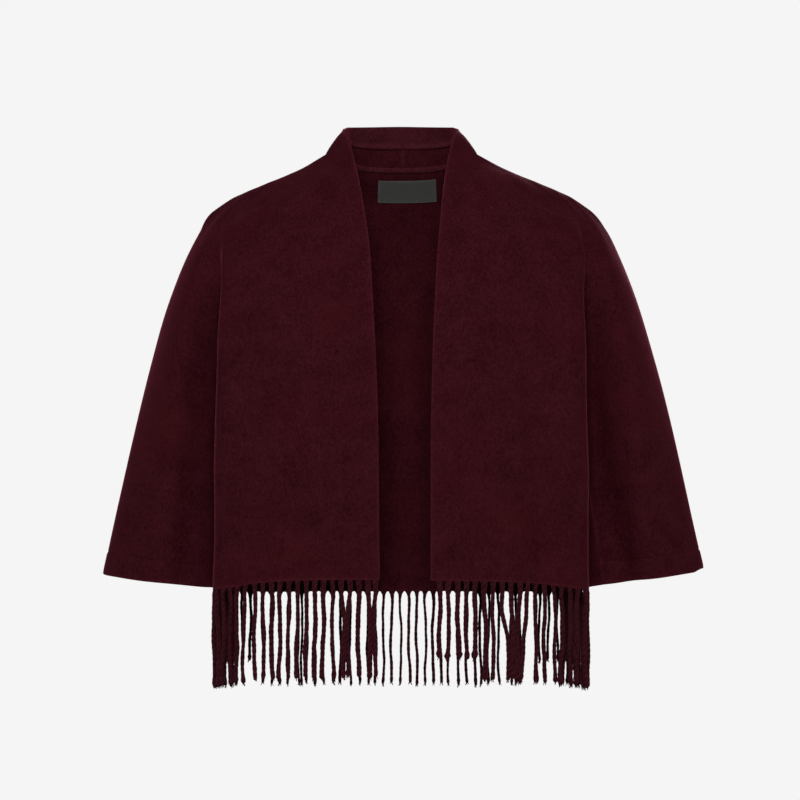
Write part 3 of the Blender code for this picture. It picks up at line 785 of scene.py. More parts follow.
# Soft folds that the lines don't give: each runs from a column and level down to another,
# with its rise at the middle of the fold (a trough's is negative) and its half width.
FOLD_COLUMNS = ("top_column", "top_level", "foot_column", "foot_level", "rise", "width")
FOLDS = {
    ("front", "left"): (
        (1.42, 4.4, 1.62, 6.2, 4.4, 10.0),
        (1.72, 4.7, 1.88, 6.2, -3.0, 9.0),
        (0.45, 3.6, 0.50, 6.2, 1.2, 22.0),
        (1.10, 0.3, 2.60, 2.2, -1.6, 20.0),
        (7.60, 2.0, 7.30, 4.4, 1.6, 15.0),
        (7.15, 3.7, 7.30, 6.3, -4.8, 17.0),
        (8.10, 4.2, 8.15, 6.3, 2.4, 16.0),
    ),
    ("front", "right"): (
        (1.30, 4.4, 1.20, 6.2, -1.6, 20.0),
        (0.50, 3.2, 0.60, 6.2, 1.3, 20.0),
        (1.15, 0.3, 2.55, 2.1, -1.5, 21.0),
        (8.20, 3.4, 8.30, 6.2, 1.6, 18.0),
        (7.50, 4.6, 7.60, 6.2, -1.8, 14.0),
    ),
    ("rear", "left"): (
        (0.90, 2.6, 1.10, 6.2, 4.2, 22.0),
        (2.30, 2.2, 2.60, 6.2, -3.6, 19.0),
        (3.60, 1.8, 4.00, 6.2, 3.6, 20.0),
        (3.10, 0.3, 4.60, 2.4, -1.8, 20.0),
        (10.30, 3.0, 10.20, 6.2, 2.2, 18.0),
        (9.60, 4.4, 9.40, 6.2, -2.0, 14.0),
    ),
    ("rear", "right"): (
        (0.70, 3.0, 0.80, 6.2, -3.8, 21.0),
        (1.90, 2.4, 2.10, 6.2, 4.0, 20.0),
        (3.30, 2.0, 3.60, 6.2, -3.4, 20.0),
        (3.15, 0.3, 4.65, 2.3, -1.6, 20.0),
        (10.20, 3.4, 10.35, 6.2, 2.4, 19.0),
        (9.50, 4.6, 9.60, 6.2, -1.8, 13.0),
    ),
}


@dataclass(frozen=True)
class Spot:
    """Where a corner of a panel's mesh lies on its cloth."""

    column: float
    level: float
    along: float         # mm from the row's start
    point: Point


class Fold:
    """One soft fold of a panel, from a row of the table."""

    def __init__(self, row: Row) -> None:
        named = dict(zip(FOLD_COLUMNS, row))
        self.columns = (named["top_column"], named["foot_column"])
        self.levels = (named["top_level"], named["foot_level"])
        self.rise = named["rise"]
        self.width = named["width"]

    def lift(self, spot: Spot, columns: Sequence[float], alongs: Sequence[float]) -> float:
        """Height of the fold at a spot.

        Args:
            spot: the place on the cloth.
            columns: columns of the spot's row.
            alongs: distances of those columns along the row.

        Returns:
            The height in millimetres, outwards from the hollow.
        """
        top, foot = self.levels
        down = (spot.level - top) / (foot - top)
        if not 0.0 < down < 1.0:
            return 0.0
        column = self.columns[0] + (self.columns[1] - self.columns[0]) * down
        centre = float(np.interp(column, columns, alongs))
        width = self.width * float(np.interp(down, (0.0, 1.0), FOLD_SPREAD))
        across = (spot.along - centre) / width
        if abs(across) > FOLD_BORDER:
            return 0.0
        return self.rise * math.exp(-across * across) * smooth(down * FOLD_START)


def stops(quads: Sequence[int], seams: Iterable[float] = (), edges: Iterable[float] = (),
          first: int = 0) -> list[float]:
    """Columns or levels of a fine grid.

    Args:
        quads: number of quads in each span.
        seams: values of the seams, which have more stops beside them.
        edges: values of free edges, which have finer ones.
        first: value of the first stop.

    Returns:
        The rising list of stops.
    """
    last = float(first + len(quads))
    values = {first + span + step / count for span, count in enumerate(quads) for step in range(count)}
    values.add(last)
    for places, shares in ((seams, SEAM_STOPS), (edges, EDGE_STOPS)):
        for place in places:
            for share in shares:
                values.update({place - share, place + share})
    ordered = sorted(value for value in values if first <= value <= last)
    kept = [ordered[0]]
    exact = {float(first + span) for span in range(len(quads) + 1)}
    for value in ordered[1:]:
        close = value - kept[-1] < NEAREST_STOPS
        if close and value in exact:
            kept[-1] = value
        elif not close:
            kept.append(value)
    return kept


def hem_levels() -> list[float]:
    """Levels of a panel's rows, with closer ones over the turned-up hems."""
    rows = stops(LEVEL_STOPS, (SHOULDER,), (), SHOULDER)
    hem = {HEM - rise / HEM_RISE for rise in CUFF_STOPS}
    kept = [row for row in rows if all(abs(row - value) > NEAREST_HEM_STOPS / HEM_RISE for value in hem)]
    return sorted(set(kept) | hem)


class ClothMesh:
    """Open sheet of cloth under construction, with what each corner carries.

    `lift` moves a corner out from the hollow, and `rim` tells how close to an edge it lies;
    the wool paints shade in deep troughs and a highlight near an edge.
    """

    def __init__(self, name: str) -> None:
        self.name = name
        self.mesh = bmesh.new()
        self.lift = self.mesh.verts.layers.float.new("lift")
        self.rim = self.mesh.verts.layers.float.new("rim")
        self.column = self.mesh.verts.layers.float.new("column")
        self.level = self.mesh.verts.layers.float.new("level")
        self.along = self.mesh.verts.layers.float.new("along")

    def add_grid(self, columns: Sequence[float], levels: Sequence[float],
                 point: Callable[[float, float], Point],
                 lift: Callable[[Spot, Sequence[float], Sequence[float]], float] | None = None,
                 rim: Callable[[Spot], float] | None = None,
                 slit: tuple[float, float] | None = None) -> None:
        """Add quads over columns and levels.

        Args:
            columns: columns of the grid.
            levels: levels of its rows.
            point: gives the point at a column and level, in millimetres.
            lift: gives the height of the folds at a spot.
            rim: gives the distance of a spot from the nearest free edge.
            slit: the columns between which the cloth is cut below the underarm.
        """
        verts: dict[tuple[float, float], bmesh.types.BMVert] = {}
        for level in levels:
            row = [point(column, level) for column in columns]
            steps = [float(np.linalg.norm(b - a)) for a, b in zip(row, row[1:])]
            alongs = [0.0] + list(np.cumsum(steps))
            for column, along, here in zip(columns, alongs, row):
                if slit and level > UNDERARM and slit[0] < column < slit[1]:
                    continue
                spot = Spot(column, level, along, here)
                vert = self.mesh.verts.new(here * MM)
                vert[self.lift] = lift(spot, columns, alongs) if lift else 0.0
                vert[self.rim] = math.exp(-rim(spot) / RIM_FADE) if rim else 0.0
                vert[self.column] = column
                vert[self.level] = level
                vert[self.along] = math.copysign(along, here[0])
                verts[column, level] = vert
        for left, right in zip(columns, columns[1:]):
            for top, foot in zip(levels, levels[1:]):
                if slit and top >= UNDERARM and slit[0] <= left < slit[1]:
                    continue
                corners = ((left, top), (left, foot), (right, foot), (right, top))
                self.mesh.faces.new([verts[corner] for corner in corners])

    def add_strip(self, rows: Sequence[Sequence[Point]], rim: float) -> None:
        """Add quads over rows of points in millimetres, all with one rim value, which the finish paints
        as a highlight.
        """
        verts = [[self.mesh.verts.new(point * MM) for point in row] for row in rows]
        for row in verts:
            for vert in row:
                vert[self.rim] = rim
        for here, there in zip(verts, verts[1:]):
            for step in range(len(here) - 1):
                self.mesh.faces.new((here[step], there[step], there[step + 1], here[step + 1]))

    def settle(self, outward: Callable[[Vector], Vector]) -> None:
        """Join the grids, turn their faces outwards and raise the folds.

        Args:
            outward: gives the direction away from the hollow at a point.
        """
        loose = [vert for vert in self.mesh.verts if not vert.link_faces]
        bmesh.ops.delete(self.mesh, geom=loose, context="VERTS")
        bmesh.ops.remove_doubles(self.mesh, verts=self.mesh.verts, dist=HAIR * MM)
        bmesh.ops.recalc_face_normals(self.mesh, faces=self.mesh.faces)
        vote = sum(face.normal.dot(outward(face.calc_center_median())) for face in self.mesh.faces)
        if vote < 0.0:
            bmesh.ops.reverse_faces(self.mesh, faces=self.mesh.faces)
        self.mesh.normal_update()
        moves = [(vert, vert.normal * vert[self.lift] * MM) for vert in self.mesh.verts]
        for vert, move in moves:
            vert.co += move

    def shell(self, thickness: float, finish: bpy.types.Material,
              rounding: float = ROUNDING) -> bpy.types.Object:
        """Close the settled sheet into a wall of cloth with rounded edges.

        Args:
            thickness: thickness of the wall.
            finish: material of the wall.
            rounding: radius of its edges.

        Returns:
            The finished object.
        """
        uv = self.mesh.loops.layers.uv.new("cloth")
        for face in self.mesh.faces:
            for loop in face.loops:
                loop[uv].uv = (loop.vert[self.along] * MM, loop.vert[self.level] * LEVEL_UV)
        data = bpy.data.meshes.new(self.name)
        self.mesh.to_mesh(data)
        self.mesh.free()
        item = placed(self.name, data, finish)
        wall = item.modifiers.new("wall", "SOLIDIFY")
        wall.thickness = thickness * MM
        wall.offset = 0.0
        bpy.ops.object.modifier_apply(modifier=wall.name)
        edge = item.modifiers.new("edge", "BEVEL")
        edge.width = rounding * MM
        edge.segments = ROUNDING_STEPS
        edge.limit_method = "ANGLE"
        edge.angle_limit = SHARP
        bpy.ops.object.modifier_apply(modifier=edge.name)
        bpy.ops.object.shade_smooth()
        return item


def placed(name: str, data: bpy.types.Mesh, finish: bpy.types.Material) -> bpy.types.Object:
    """Put a mesh into the scene as an object, alone selected and active."""
    data.materials.append(finish)
    item = bpy.data.objects.new(name, data)
    bpy.context.scene.collection.objects.link(item)
    bpy.ops.object.select_all(action="DESELECT")
    item.select_set(True)
    bpy.context.view_layer.objects.active = item
    return item


def swell(point: Point) -> float:
    """Slow unevenness of the cloth at a point, which runs on over its seams."""
    return sum(height * noise.noise(Vector(point) / size) for size, height in SWELLS)


@dataclass(frozen=True)
class Panel:
    """A front or half of the back: its folds, hems and edges."""

    face: Face
    side: Side

    @cache
    def folds(self) -> tuple[Fold, ...]:
        """The panel's own soft folds."""
        return tuple(Fold(row) for row in FOLDS[self.face.value, self.side.word])

    def from_seams(self, spot: Spot) -> float:
        """Rough distance from a spot to the nearest seam, in millimetres."""
        column = spot.column - self.face.shift
        away = [(OVER - column) * OVER_COLUMN]
        if column >= NECK or self.face is Face.REAR:
            away.append((spot.level - SHOULDER) * ROUND_RISE)
        if spot.level > UNDERARM:
            away.append(abs(column - (SIDE if column <= SIDE else UNDER)) * SLEEVE_COLUMN)
        return max(min(away), 0.0)

    def lift(self, spot: Spot, columns: Sequence[float], alongs: Sequence[float]) -> float:
        """Height of the cloth's folds, swells and turned hem at a spot."""
        height = swell(spot.point) + sum(fold.lift(spot, columns, alongs) for fold in self.folds())
        height *= smooth(self.from_seams(spot) / FOLD_FADE)
        return height + self.cuff_hem(spot) + self.seam_ridge(spot)

    def from_underarm(self, spot: Spot) -> float:
        """Rough distance from a spot on the sleeve to the seam along its underside, in mm."""
        column = spot.column - self.face.shift
        if column < UNDER or spot.level <= UNDERARM:
            return HEM_RISE
        return (column - UNDER) * SLEEVE_COLUMN

    def seam_ridge(self, spot: Spot) -> float:
        """Height of the pressed seam along the underside of the sleeve."""
        height, width = SLEEVE_SEAM
        fade = smooth((spot.level - UNDERARM) / 0.2)
        return height * fade * math.exp(-(self.from_underarm(spot) / width) ** 2)

    def cuff_hem(self, spot: Spot) -> float:
        """Height of the turned-up sleeve hem, with the dent of its hidden stitches."""
        if spot.column - self.face.shift < UNDER or spot.level <= UNDERARM:
            return 0.0
        rise = (HEM - spot.level) * HEM_RISE
        turned = HEM_THICKNESS * smooth((CUFF_HEM + 1.0 - rise) / 2.0)
        pull = 0.75 + 0.25 * math.sin(spot.along * math.tau / STITCH_PITCH)
        depth, width = STITCH_DENT
        return turned - depth * pull * math.exp(-((rise - CUFF_HEM) / width) ** 2)

    def from_edge(self, spot: Spot) -> float:
        """Distance from a spot to the nearest free edge or the seam under the sleeve, in millimetres; the
        wool paints a highlight near both.
        """
        away = [(HEM - spot.level) * HEM_RISE, self.from_underarm(spot) + 1.0]
        if self.face is Face.FRONT:
            away.append(spot.along if spot.column < 1.0 else HEM_RISE)
        return min(away)

    def columns(self) -> list[float]:
        """Columns of the panel's fine grid."""
        if self.face is Face.FRONT:
            return stops(CHEST_STOPS + SHOULDER_STOPS, (SIDE, UNDER, OVER), (0,))
        shift = self.face.shift
        seams = (SIDE + shift, UNDER + shift, OVER + shift, shift + 1)
        return stops(NECKLINE_STOPS[::-1] + SHOULDER_STOPS, seams)

    def add_to(self, cloth: ClothMesh) -> None:
        """Add the panel's grid to a sheet."""
        slit = (SIDE + self.face.shift, UNDER + self.face.shift)
        cloth.add_grid(self.columns(), hem_levels(),
                       lambda column, level: FORM.panel_point(self.face, self.side, column, level),
                       self.lift, self.from_edge, slit)


@dataclass(frozen=True)
class CollarHalf:
    """Half of the stand collar, cut in one with its front."""

    side: Side
    ridge: float = 0.5       # height of the pressed seam at the centre back
    ridge_width: float = 2.2

    def columns(self) -> list[float]:
        """Columns of the collar's fine grid, alike with the front's up to the neck point."""
        front = [value for value in Panel(Face.FRONT, self.side).columns() if value <= NECK]
        rest = stops(NECKLINE_STOPS, (), (len(NECKLINE_STOPS),))
        return front[:-1] + [NECK + value for value in rest]

    def levels(self) -> list[float]:
        """Levels of the collar's rows from its top to the neckline."""
        return stops(COLLAR_STOPS, (SHOULDER,), (COLLAR,))

    def lift(self, spot: Spot, columns: Sequence[float], alongs: Sequence[float]) -> float:
        """Height of the collar's unevenness and its centre seam at a spot."""
        from_centre = alongs[-1] - spot.along
        seam = -self.ridge * math.exp(-(from_centre / self.ridge_width) ** 2)
        from_neckline = (SHOULDER - spot.level) * COLLAR_RISE
        fade = smooth(from_neckline / FOLD_FADE) if spot.column >= NECK else 1.0
        return swell(spot.point) * fade * smooth(from_centre / FOLD_FADE) + seam

    @staticmethod
    def from_edge(spot: Spot) -> float:
        """Distance from a spot to the collar's top or front edge."""
        return min((spot.level - COLLAR) * COLLAR_RISE, spot.along)

    def add_to(self, cloth: ClothMesh) -> None:
        """Add the half collar's grid to a sheet."""
        cloth.add_grid(self.columns(), self.levels(),
                       lambda column, level: FORM.collar_point(self.side, column, level),
                       self.lift, self.from_edge)


# ---------------------------------------------------------------- what lies on the cloth

ACROSS = np.linspace(1.0, -1.0, 5)       # places across a raised strip, from side to side


def inward(point: Point) -> Point:
    """Level direction from a point towards the jacket's middle line."""
    return np.array((-point[0], -point[1], 0.0))


def laid_depth(thickness: float) -> float:
    """Distance from the middle of the panel's cloth to the middle of cloth laid inside it."""
    return CLOTH / 2.0 + LAID_GAP + thickness / 2.0


@dataclass(frozen=True)
class LaidStrip:
    """Places pieces that lie inside a panel, on its own folds."""

    base: Callable[[float, float], Point]
    lift: Callable[[float, float], float]
    step: float = 0.02

    def point(self, column: float, level: float, inside: float) -> Point:
        """Point at a distance inside the middle of the panel's cloth."""
        sideways = self.base(column + self.step, level) - self.base(column - self.step, level)
        down = self.base(column, level + self.step) - self.base(column, level - self.step)
        here = self.base(column, level)
        normal = unit(np.cross(sideways, down))
        normal = normal * np.sign(np.dot(normal, inward(here)))
        return here + normal * (inside - self.lift(column, level))


@dataclass(frozen=True)
class CollarHem:
    """Turned-in hem inside half the collar, from the front edge to the centre back."""

    side: Side
    top: float = 0.02
    foot: float = 0.5
    start: float = 0.04
    cloth: float = 1.4
    rounding: float = 0.55
    roll: float = 1.5        # how far its rolled lower edge stands off
    roll_place: float = 0.05     # levels from the edge up to the roll's crown
    band: float = 0.5        # how far the cloth above the roll stands off
    band_place: float = 0.16     # levels from the edge up to that cloth
    band_fades: tuple[float, float] = (0.06, 0.08)   # levels over which it starts and ends
    rows: int = 31

    def build(self) -> bpy.types.Object:
        """Build the turned-in hem."""
        half = CollarHalf(self.side)
        laid = LaidStrip(lambda column, level: FORM.collar_point(self.side, column, level),
                         lambda column, level: swell(FORM.collar_point(self.side, column, level)))

        def point(column: float, level: float) -> Point:
            inside = laid_depth(self.cloth) + self.puff(level)
            here = laid.point(min(column, CENTRE - laid.step), level, inside)
            if column == CENTRE:
                here[0] = 0.0
            return here

        columns = [self.start] + [value for value in half.columns() if value > self.start + HAIR]
        levels = list(np.linspace(self.top, self.foot, self.rows))
        cloth = ClothMesh(f"collar_hem_{self.side.word}_cloth")
        cloth.add_grid(columns, levels, point, None, self.from_foot)
        cloth.settle(lambda place: place)
        return cloth.shell(self.cloth, LIT_TURNED_WOOL.material(), self.rounding)

    def puff(self, level: float) -> float:
        """How far the hem stands off at a level: its rolled foot, stitched groove and band."""
        above, below = self.foot - level, level - self.top
        start, end = self.band_fades
        foot = self.roll * math.exp(-((above - self.roll_place) / self.roll_place) ** 2)
        return foot + self.band * smooth((above - self.band_place) / start) * smooth(below / end)

    def from_foot(self, spot: Spot) -> float:
        """Distance from a spot to the crown of the rolled foot, along which a painted highlight lightens
        the pile.
        """
        return 0.6 + 0.6 * COLLAR_RISE * abs(self.foot - spot.level - self.roll_place)


@dataclass(frozen=True)
class NeckRidge:
    """Pressed seam allowance round the inside of the back neck."""

    start: float = 1.3       # collar column at which it starts
    reach: float = 3.1       # half its width
    cloth: float = 1.2
    rounding: float = 0.5
    crown: float = 0.8       # rise of its middle
    steps: int = 24          # along half the neck
    seam_place: float = 0.09     # columns from the centre back to the middle of the upright
    seam_half: float = 0.05      # half the upright's width, in columns
    seam_levels: tuple[float, float, int] = (0.06, 0.93, 30)     # its top, its foot and its rows
    rims: tuple[float, float] = (0.45, 0.2)      # painted highlight on the ridge and on the upright

    def row(self, side: Side, column: float) -> list[Point]:
        """Points across the ridge at one collar column, from the collar to the back."""
        here, direction, normal = FORM.neck_frame(side, column)
        normal = normal * np.sign(np.dot(normal, inward(here)))
        return [here + normal * self.depth(share) + direction * self.reach * share for share in ACROSS]

    def depth(self, share: float) -> float:
        """Distance from the middle of the cloth to the strip's, at a share of its half width."""
        return laid_depth(self.cloth) + self.crown * (1.0 - share * share)

    def upright(self, level: float) -> list[Point]:
        """Points across the allowance of the collar's centre seam, pressed to one side."""
        laid = LaidStrip(lambda column, row: FORM.collar_point(Side.LEFT, column, row),
                         lambda column, row: 0.0)
        hem = CollarHem(Side.LEFT)
        on_hem = (hem.cloth + hem.roll) * smooth((hem.foot + 0.06 - level) / 0.1)
        return [laid.point(CENTRE - self.seam_place - self.seam_half * share, level,
                           self.depth(share) + on_hem) for share in ACROSS]

    def build(self) -> bpy.types.Object:
        """Build the ridge round the neck and the one up the collar's centre back."""
        columns = list(np.linspace(self.start, CENTRE, self.steps))
        rows = [self.row(Side.LEFT, column) for column in columns]
        rows += [self.row(Side.RIGHT, column) for column in reversed(columns[:-1])]
        cloth = ClothMesh("neck_seam_ridge_cloth")
        cloth.add_strip(rows, self.rims[0])
        cloth.add_strip([self.upright(level) for level in np.linspace(*self.seam_levels)], self.rims[1])
        cloth.settle(lambda place: place)
        return cloth.shell(self.cloth, LIT_TURNED_WOOL.material(), self.rounding)


@dataclass(frozen=True)
class NeckLabel:
    """Plain label on the inside of the back, held by small stitches at its ends."""

    left: float = 1.1        # column of its end on the wearer's left
    right: float = 0.65
    top: float = 1.26        # level of its top
    foot: float = 1.93
    cloth: float = 0.8
    rounding: float = 0.3
    belly: float = 0.5       # how far its middle stands off the cloth
    stitch: float = 2.6      # pitch of the stitches at its ends
    stitch_inset: float = 1.6
    thread: float = 0.22     # radius of the sewing thread

    @property
    def ends(self) -> tuple[tuple[Side, float], ...]:
        """Its two ends, each with its side and its column."""
        return (Side.LEFT, self.left), (Side.RIGHT, self.right)

    def laid(self, side: Side) -> LaidStrip:
        """The inside of the back where the label lies."""
        panel = Panel(Face.REAR, side)

        def base(column: float, level: float) -> Point:
            if column >= 0.0:
                return FORM.panel_point(Face.REAR, side, column, level)
            return FORM.panel_point(Face.REAR, side, -column, level) * MIRROR

        last = OVER + REAR_SHIFT

        def lift(column: float, level: float) -> float:
            spot = Spot(abs(column), level, abs(column) * NAPE_COLUMN, base(column, level))
            return panel.lift(spot, (0.0, last), (0.0, last * NAPE_COLUMN))

        return LaidStrip(base, lift)

    def point(self, side: Side, column: float, level: float) -> Point:
        """Point of the middle of the label's cloth."""
        across = column / dict(self.ends)[side]
        down = (level - self.top) / (self.foot - self.top)
        off = self.belly * math.cos(across * math.pi / 2.0) * math.sin(down * math.pi)
        return self.laid(side).point(column, level, laid_depth(self.cloth) + off)

    def from_edge(self, side: Side, spot: Spot) -> float:
        """Distance from a spot to the label's selvage, which is a little wider than other rims."""
        across = (dict(self.ends)[side] - spot.column) * NAPE_COLUMN
        down = min(spot.level - self.top, self.foot - spot.level) * NAPE_RISE
        return min(across, down) * 0.7

    def build(self) -> bpy.types.Object:
        """Build the label."""
        cloth = ClothMesh("label_cloth")
        levels = [self.top + (self.foot - self.top) * share for share in fine_ends(16)]
        for side, end in self.ends:
            columns = [end * math.sin(math.pi / 2.0 * step / 10) for step in range(11)]
            cloth.add_grid(columns, levels, lambda column, level: self.point(side, column, level),
                           None, lambda spot: self.from_edge(side, spot))
        cloth.settle(lambda place: place)
        return cloth.shell(self.cloth, SATIN.material(), self.rounding)

    def stitches(self) -> bpy.types.Object:
        """Small stitches down both ends of the label, as one mesh of short threads."""
        threads = YarnMesh("label_stitches")
        height = self.foot - self.top
        count = int(height * NAPE_RISE / self.stitch)
        for side, end in self.ends:
            column = end - self.stitch_inset / NAPE_COLUMN
            for number in range(count):
                middle = self.top + height * (number + 0.5) / count
                top, foot = (self.point(side, column, middle + half / count * height)
                             for half in (-0.35, 0.35))
                off = unit(inward(top)) * (self.cloth / 2.0)
                crown = (top + foot) / 2.0 + off * 1.5
                threads.add_thread([top + off * 0.4, crown, foot + off * 0.4], self.thread, 6)
        return threads.finished(SEWING_THREAD.material())


def fine_ends(count: int) -> list[float]:
    """Shares from nothing to one that lie closer together near both ends."""
    return [0.5 - 0.5 * math.cos(math.pi * step / count) for step in range(count + 1)]


# ---------------------------------------------------------------- fringe

FRINGE_PITCH = 9.8
STRAND_WIDTH = 4.2
FRINGE_LENGTH = 111.0
FRINGE_END_GAP = 2.0     # from the first strand's side to the front edge or the seam
EYE_DISTANCE = 3500.0    # of someone who looks at the jacket from in front
STRAND_SIDES = 10
STRAND_STEP = 2.4
ROOT_RINGS = (0.0, 0.5, 1.1, 1.9, 3.0, 4.6, 6.8)
TWIST_PITCH = 13.0       # length in which a ply goes once round
TWIST_RISE = 0.09        # rise of a ply, as a share of the strand's radius
# Half width of a root along the hem at some depths below it.
ROOT_FLARE = ((-1.2, 4.6), (0.0, 4.1), (0.6, 3.3), (1.2, 2.9), (2.2, 2.6), (3.6, 2.45), (6.0, 2.35))
ROOT_LENGTH = 6.0        # over which a flat root turns into a round strand
ROOT_WIDTHS = (1.0, 0.14)    # mean width of the roots and how far single ones differ
ROOT_REACHES = (1.8, 0.8)    # the same for how far down they flare
# How each strand hangs: wave lengths and heights of its sways, in mm.
SWAYS = ((97.0, 1.1), (43.0, 0.34), (21.0, 0.1))
SWAY_SHARES = (0.8, 0.6)     # along the hem and out from it
STIFF_LENGTH = 14.0      # over which a strand starts to sway
LEAN = 1.6               # the most that an end leans over
LEAN_SHARES = (1.0, 0.6)     # along the hem and out from it
THICKNESSES = (0.88, 1.1)    # thinnest and thickest strand
UNEVEN = (27.0, 0.06)    # wave length and height of a strand's uneven thickness
TRIM = 0.965             # shortest strand against its full length
KNOTS = (0.0, 0.18, 0.3)     # how much wider than a strand its end is
SHORT_KNOT = 0.5         # the same on the strands that are cut shorter
KNOT_PLACE = (4.5, 2.6)      # height of a knot above the end, and its half length
TIP_TAPER = ((0.0, 0.45), (0.8, 0.85), (2.4, 1.0))   # width at some heights above the end
FRAY_COUNT = 5           # loose fibres at an end
FRAY_STOPS = (0.0, 0.4, 0.75, 1.0)
FRAY_LENGTHS = (2.5, 5.5)
FRAY_RADII = (0.45, 0.8)
FRAY_PLY = 0.6           # how light a plain thread looks
SKEW = (0.31, 0.95, 0.05)    # direction in which no thread runs


class YarnMesh:
    """Mesh of many threads, each a tube of rings, which carries where its plies rise."""

    def __init__(self, name: str) -> None:
        self.name = name
        self.verts: list[Point] = []
        self.faces: list[tuple[int, ...]] = []
        self.ply: list[float] = []

    def add_tube(self, rings: Sequence[Sequence[Point]], ply: Sequence[Sequence[float]]) -> None:
        """Add a closed tube through rings of equal counts."""
        first = len(self.verts)
        sides = len(rings[0])
        for ring, rises in zip(rings, ply):
            self.verts += list(ring)
            self.ply += list(rises)
        for step in range(len(rings) - 1):
            low = first + step * sides
            for corner in range(sides):
                after = (corner + 1) % sides
                self.faces.append((low + corner, low + after, low + sides + after, low + sides + corner))
        self.faces.append(tuple(reversed(range(first, first + sides))))
        last = first + (len(rings) - 1) * sides
        self.faces.append(tuple(range(last, last + sides)))

    def add_thread(self, path: Sequence[Point], radius: float, sides: int, tip: float = 1.0) -> None:
        """Add a plain round thread.

        Args:
            path: points along its middle.
            radius: its radius at the start.
            sides: number of its sides.
            tip: radius at the end against the start.
        """
        rings = []
        for number, here in enumerate(path):
            before = path[max(number - 1, 0)]
            after = path[min(number + 1, len(path) - 1)]
            run = unit(after - before)
            across = unit(np.cross(run, SKEW))
            up = np.cross(run, across)
            size = radius * (1.0 + (tip - 1.0) * number / (len(path) - 1))
            rings.append([here + (across * math.cos(angle) + up * math.sin(angle)) * size
                          for angle in (math.tau * side / sides for side in range(sides))])
        self.add_tube(rings, [[FRAY_PLY] * sides] * len(rings))

    def finished(self, finish: bpy.types.Material) -> bpy.types.Object:
        """Make the object, with its faces turned outwards.

        Args:
            finish: material of the threads.

        Returns:
            The finished object.
        """
        data = bpy.data.meshes.new(self.name)
        data.from_pydata([tuple(point * MM) for point in self.verts], [], self.faces)
        layer = data.attributes.new("ply", "FLOAT", "POINT")
        layer.data.foreach_set("value", self.ply)
        item = placed(self.name, data, finish)
        bpy.ops.object.mode_set(mode="EDIT")
        bpy.ops.mesh.select_all(action="SELECT")
        bpy.ops.mesh.normals_make_consistent(inside=False)
        bpy.ops.object.mode_set(mode="OBJECT")
        bpy.ops.object.shade_smooth()
        return item


class HemPath:
    """A hem that strands hang from."""

    def __init__(self, points: Sequence[Point]) -> None:
        self.points = points
        steps = [float(np.linalg.norm(b - a)) for a, b in zip(points, points[1:])]
        self.lengths = [0.0] + list(np.cumsum(steps))

    @property
    def total(self) -> float:
        """Length of the hem."""
        return self.lengths[-1]

    def at(self, place: float) -> tuple[Point, Point]:
        """Point at a distance along the hem, and the level direction of the hem there."""
        index = int(clamp(np.searchsorted(self.lengths, place) - 1, 0, len(self.points) - 2))
        step = self.points[index + 1] - self.points[index]
        point = self.points[index] + step * (place - self.lengths[index]) / np.linalg.norm(step)
        return point, unit(step * np.array((1.0, 1.0, 0.0)))

    def behind(self, place: float, before: Sequence[Point]) -> float:
        """Distance along the hem of a strand that hangs in line with a point in front of it."""
        root, along = self.at(place)
        sight = EYE_DISTANCE + root[1]
        shifts = [point[0] / (EYE_DISTANCE + point[1]) * sight - root[0] for point in before]
        near = [shift for shift in shifts if abs(shift) < FRINGE_PITCH / 2.0]
        if not near or abs(along[0]) < 0.8:
            return place
        return clamp(place + min(near, key=abs) / along[0], 0.0, self.total)


@dataclass(frozen=True)
class Clump:
    """Neighbouring strands that cling together from some way down."""

    first: float             # mm along the hem
    last: float
    start: float             # share of the length at which they meet
    spacing: float = 4.3     # mm between their middles once they cling


@dataclass(frozen=True)
class Filling:
    """Stretch of a hem whose strands hang between those in front, and not behind them."""

    first: float             # x of its ends
    last: float
    length: float            # of its strands


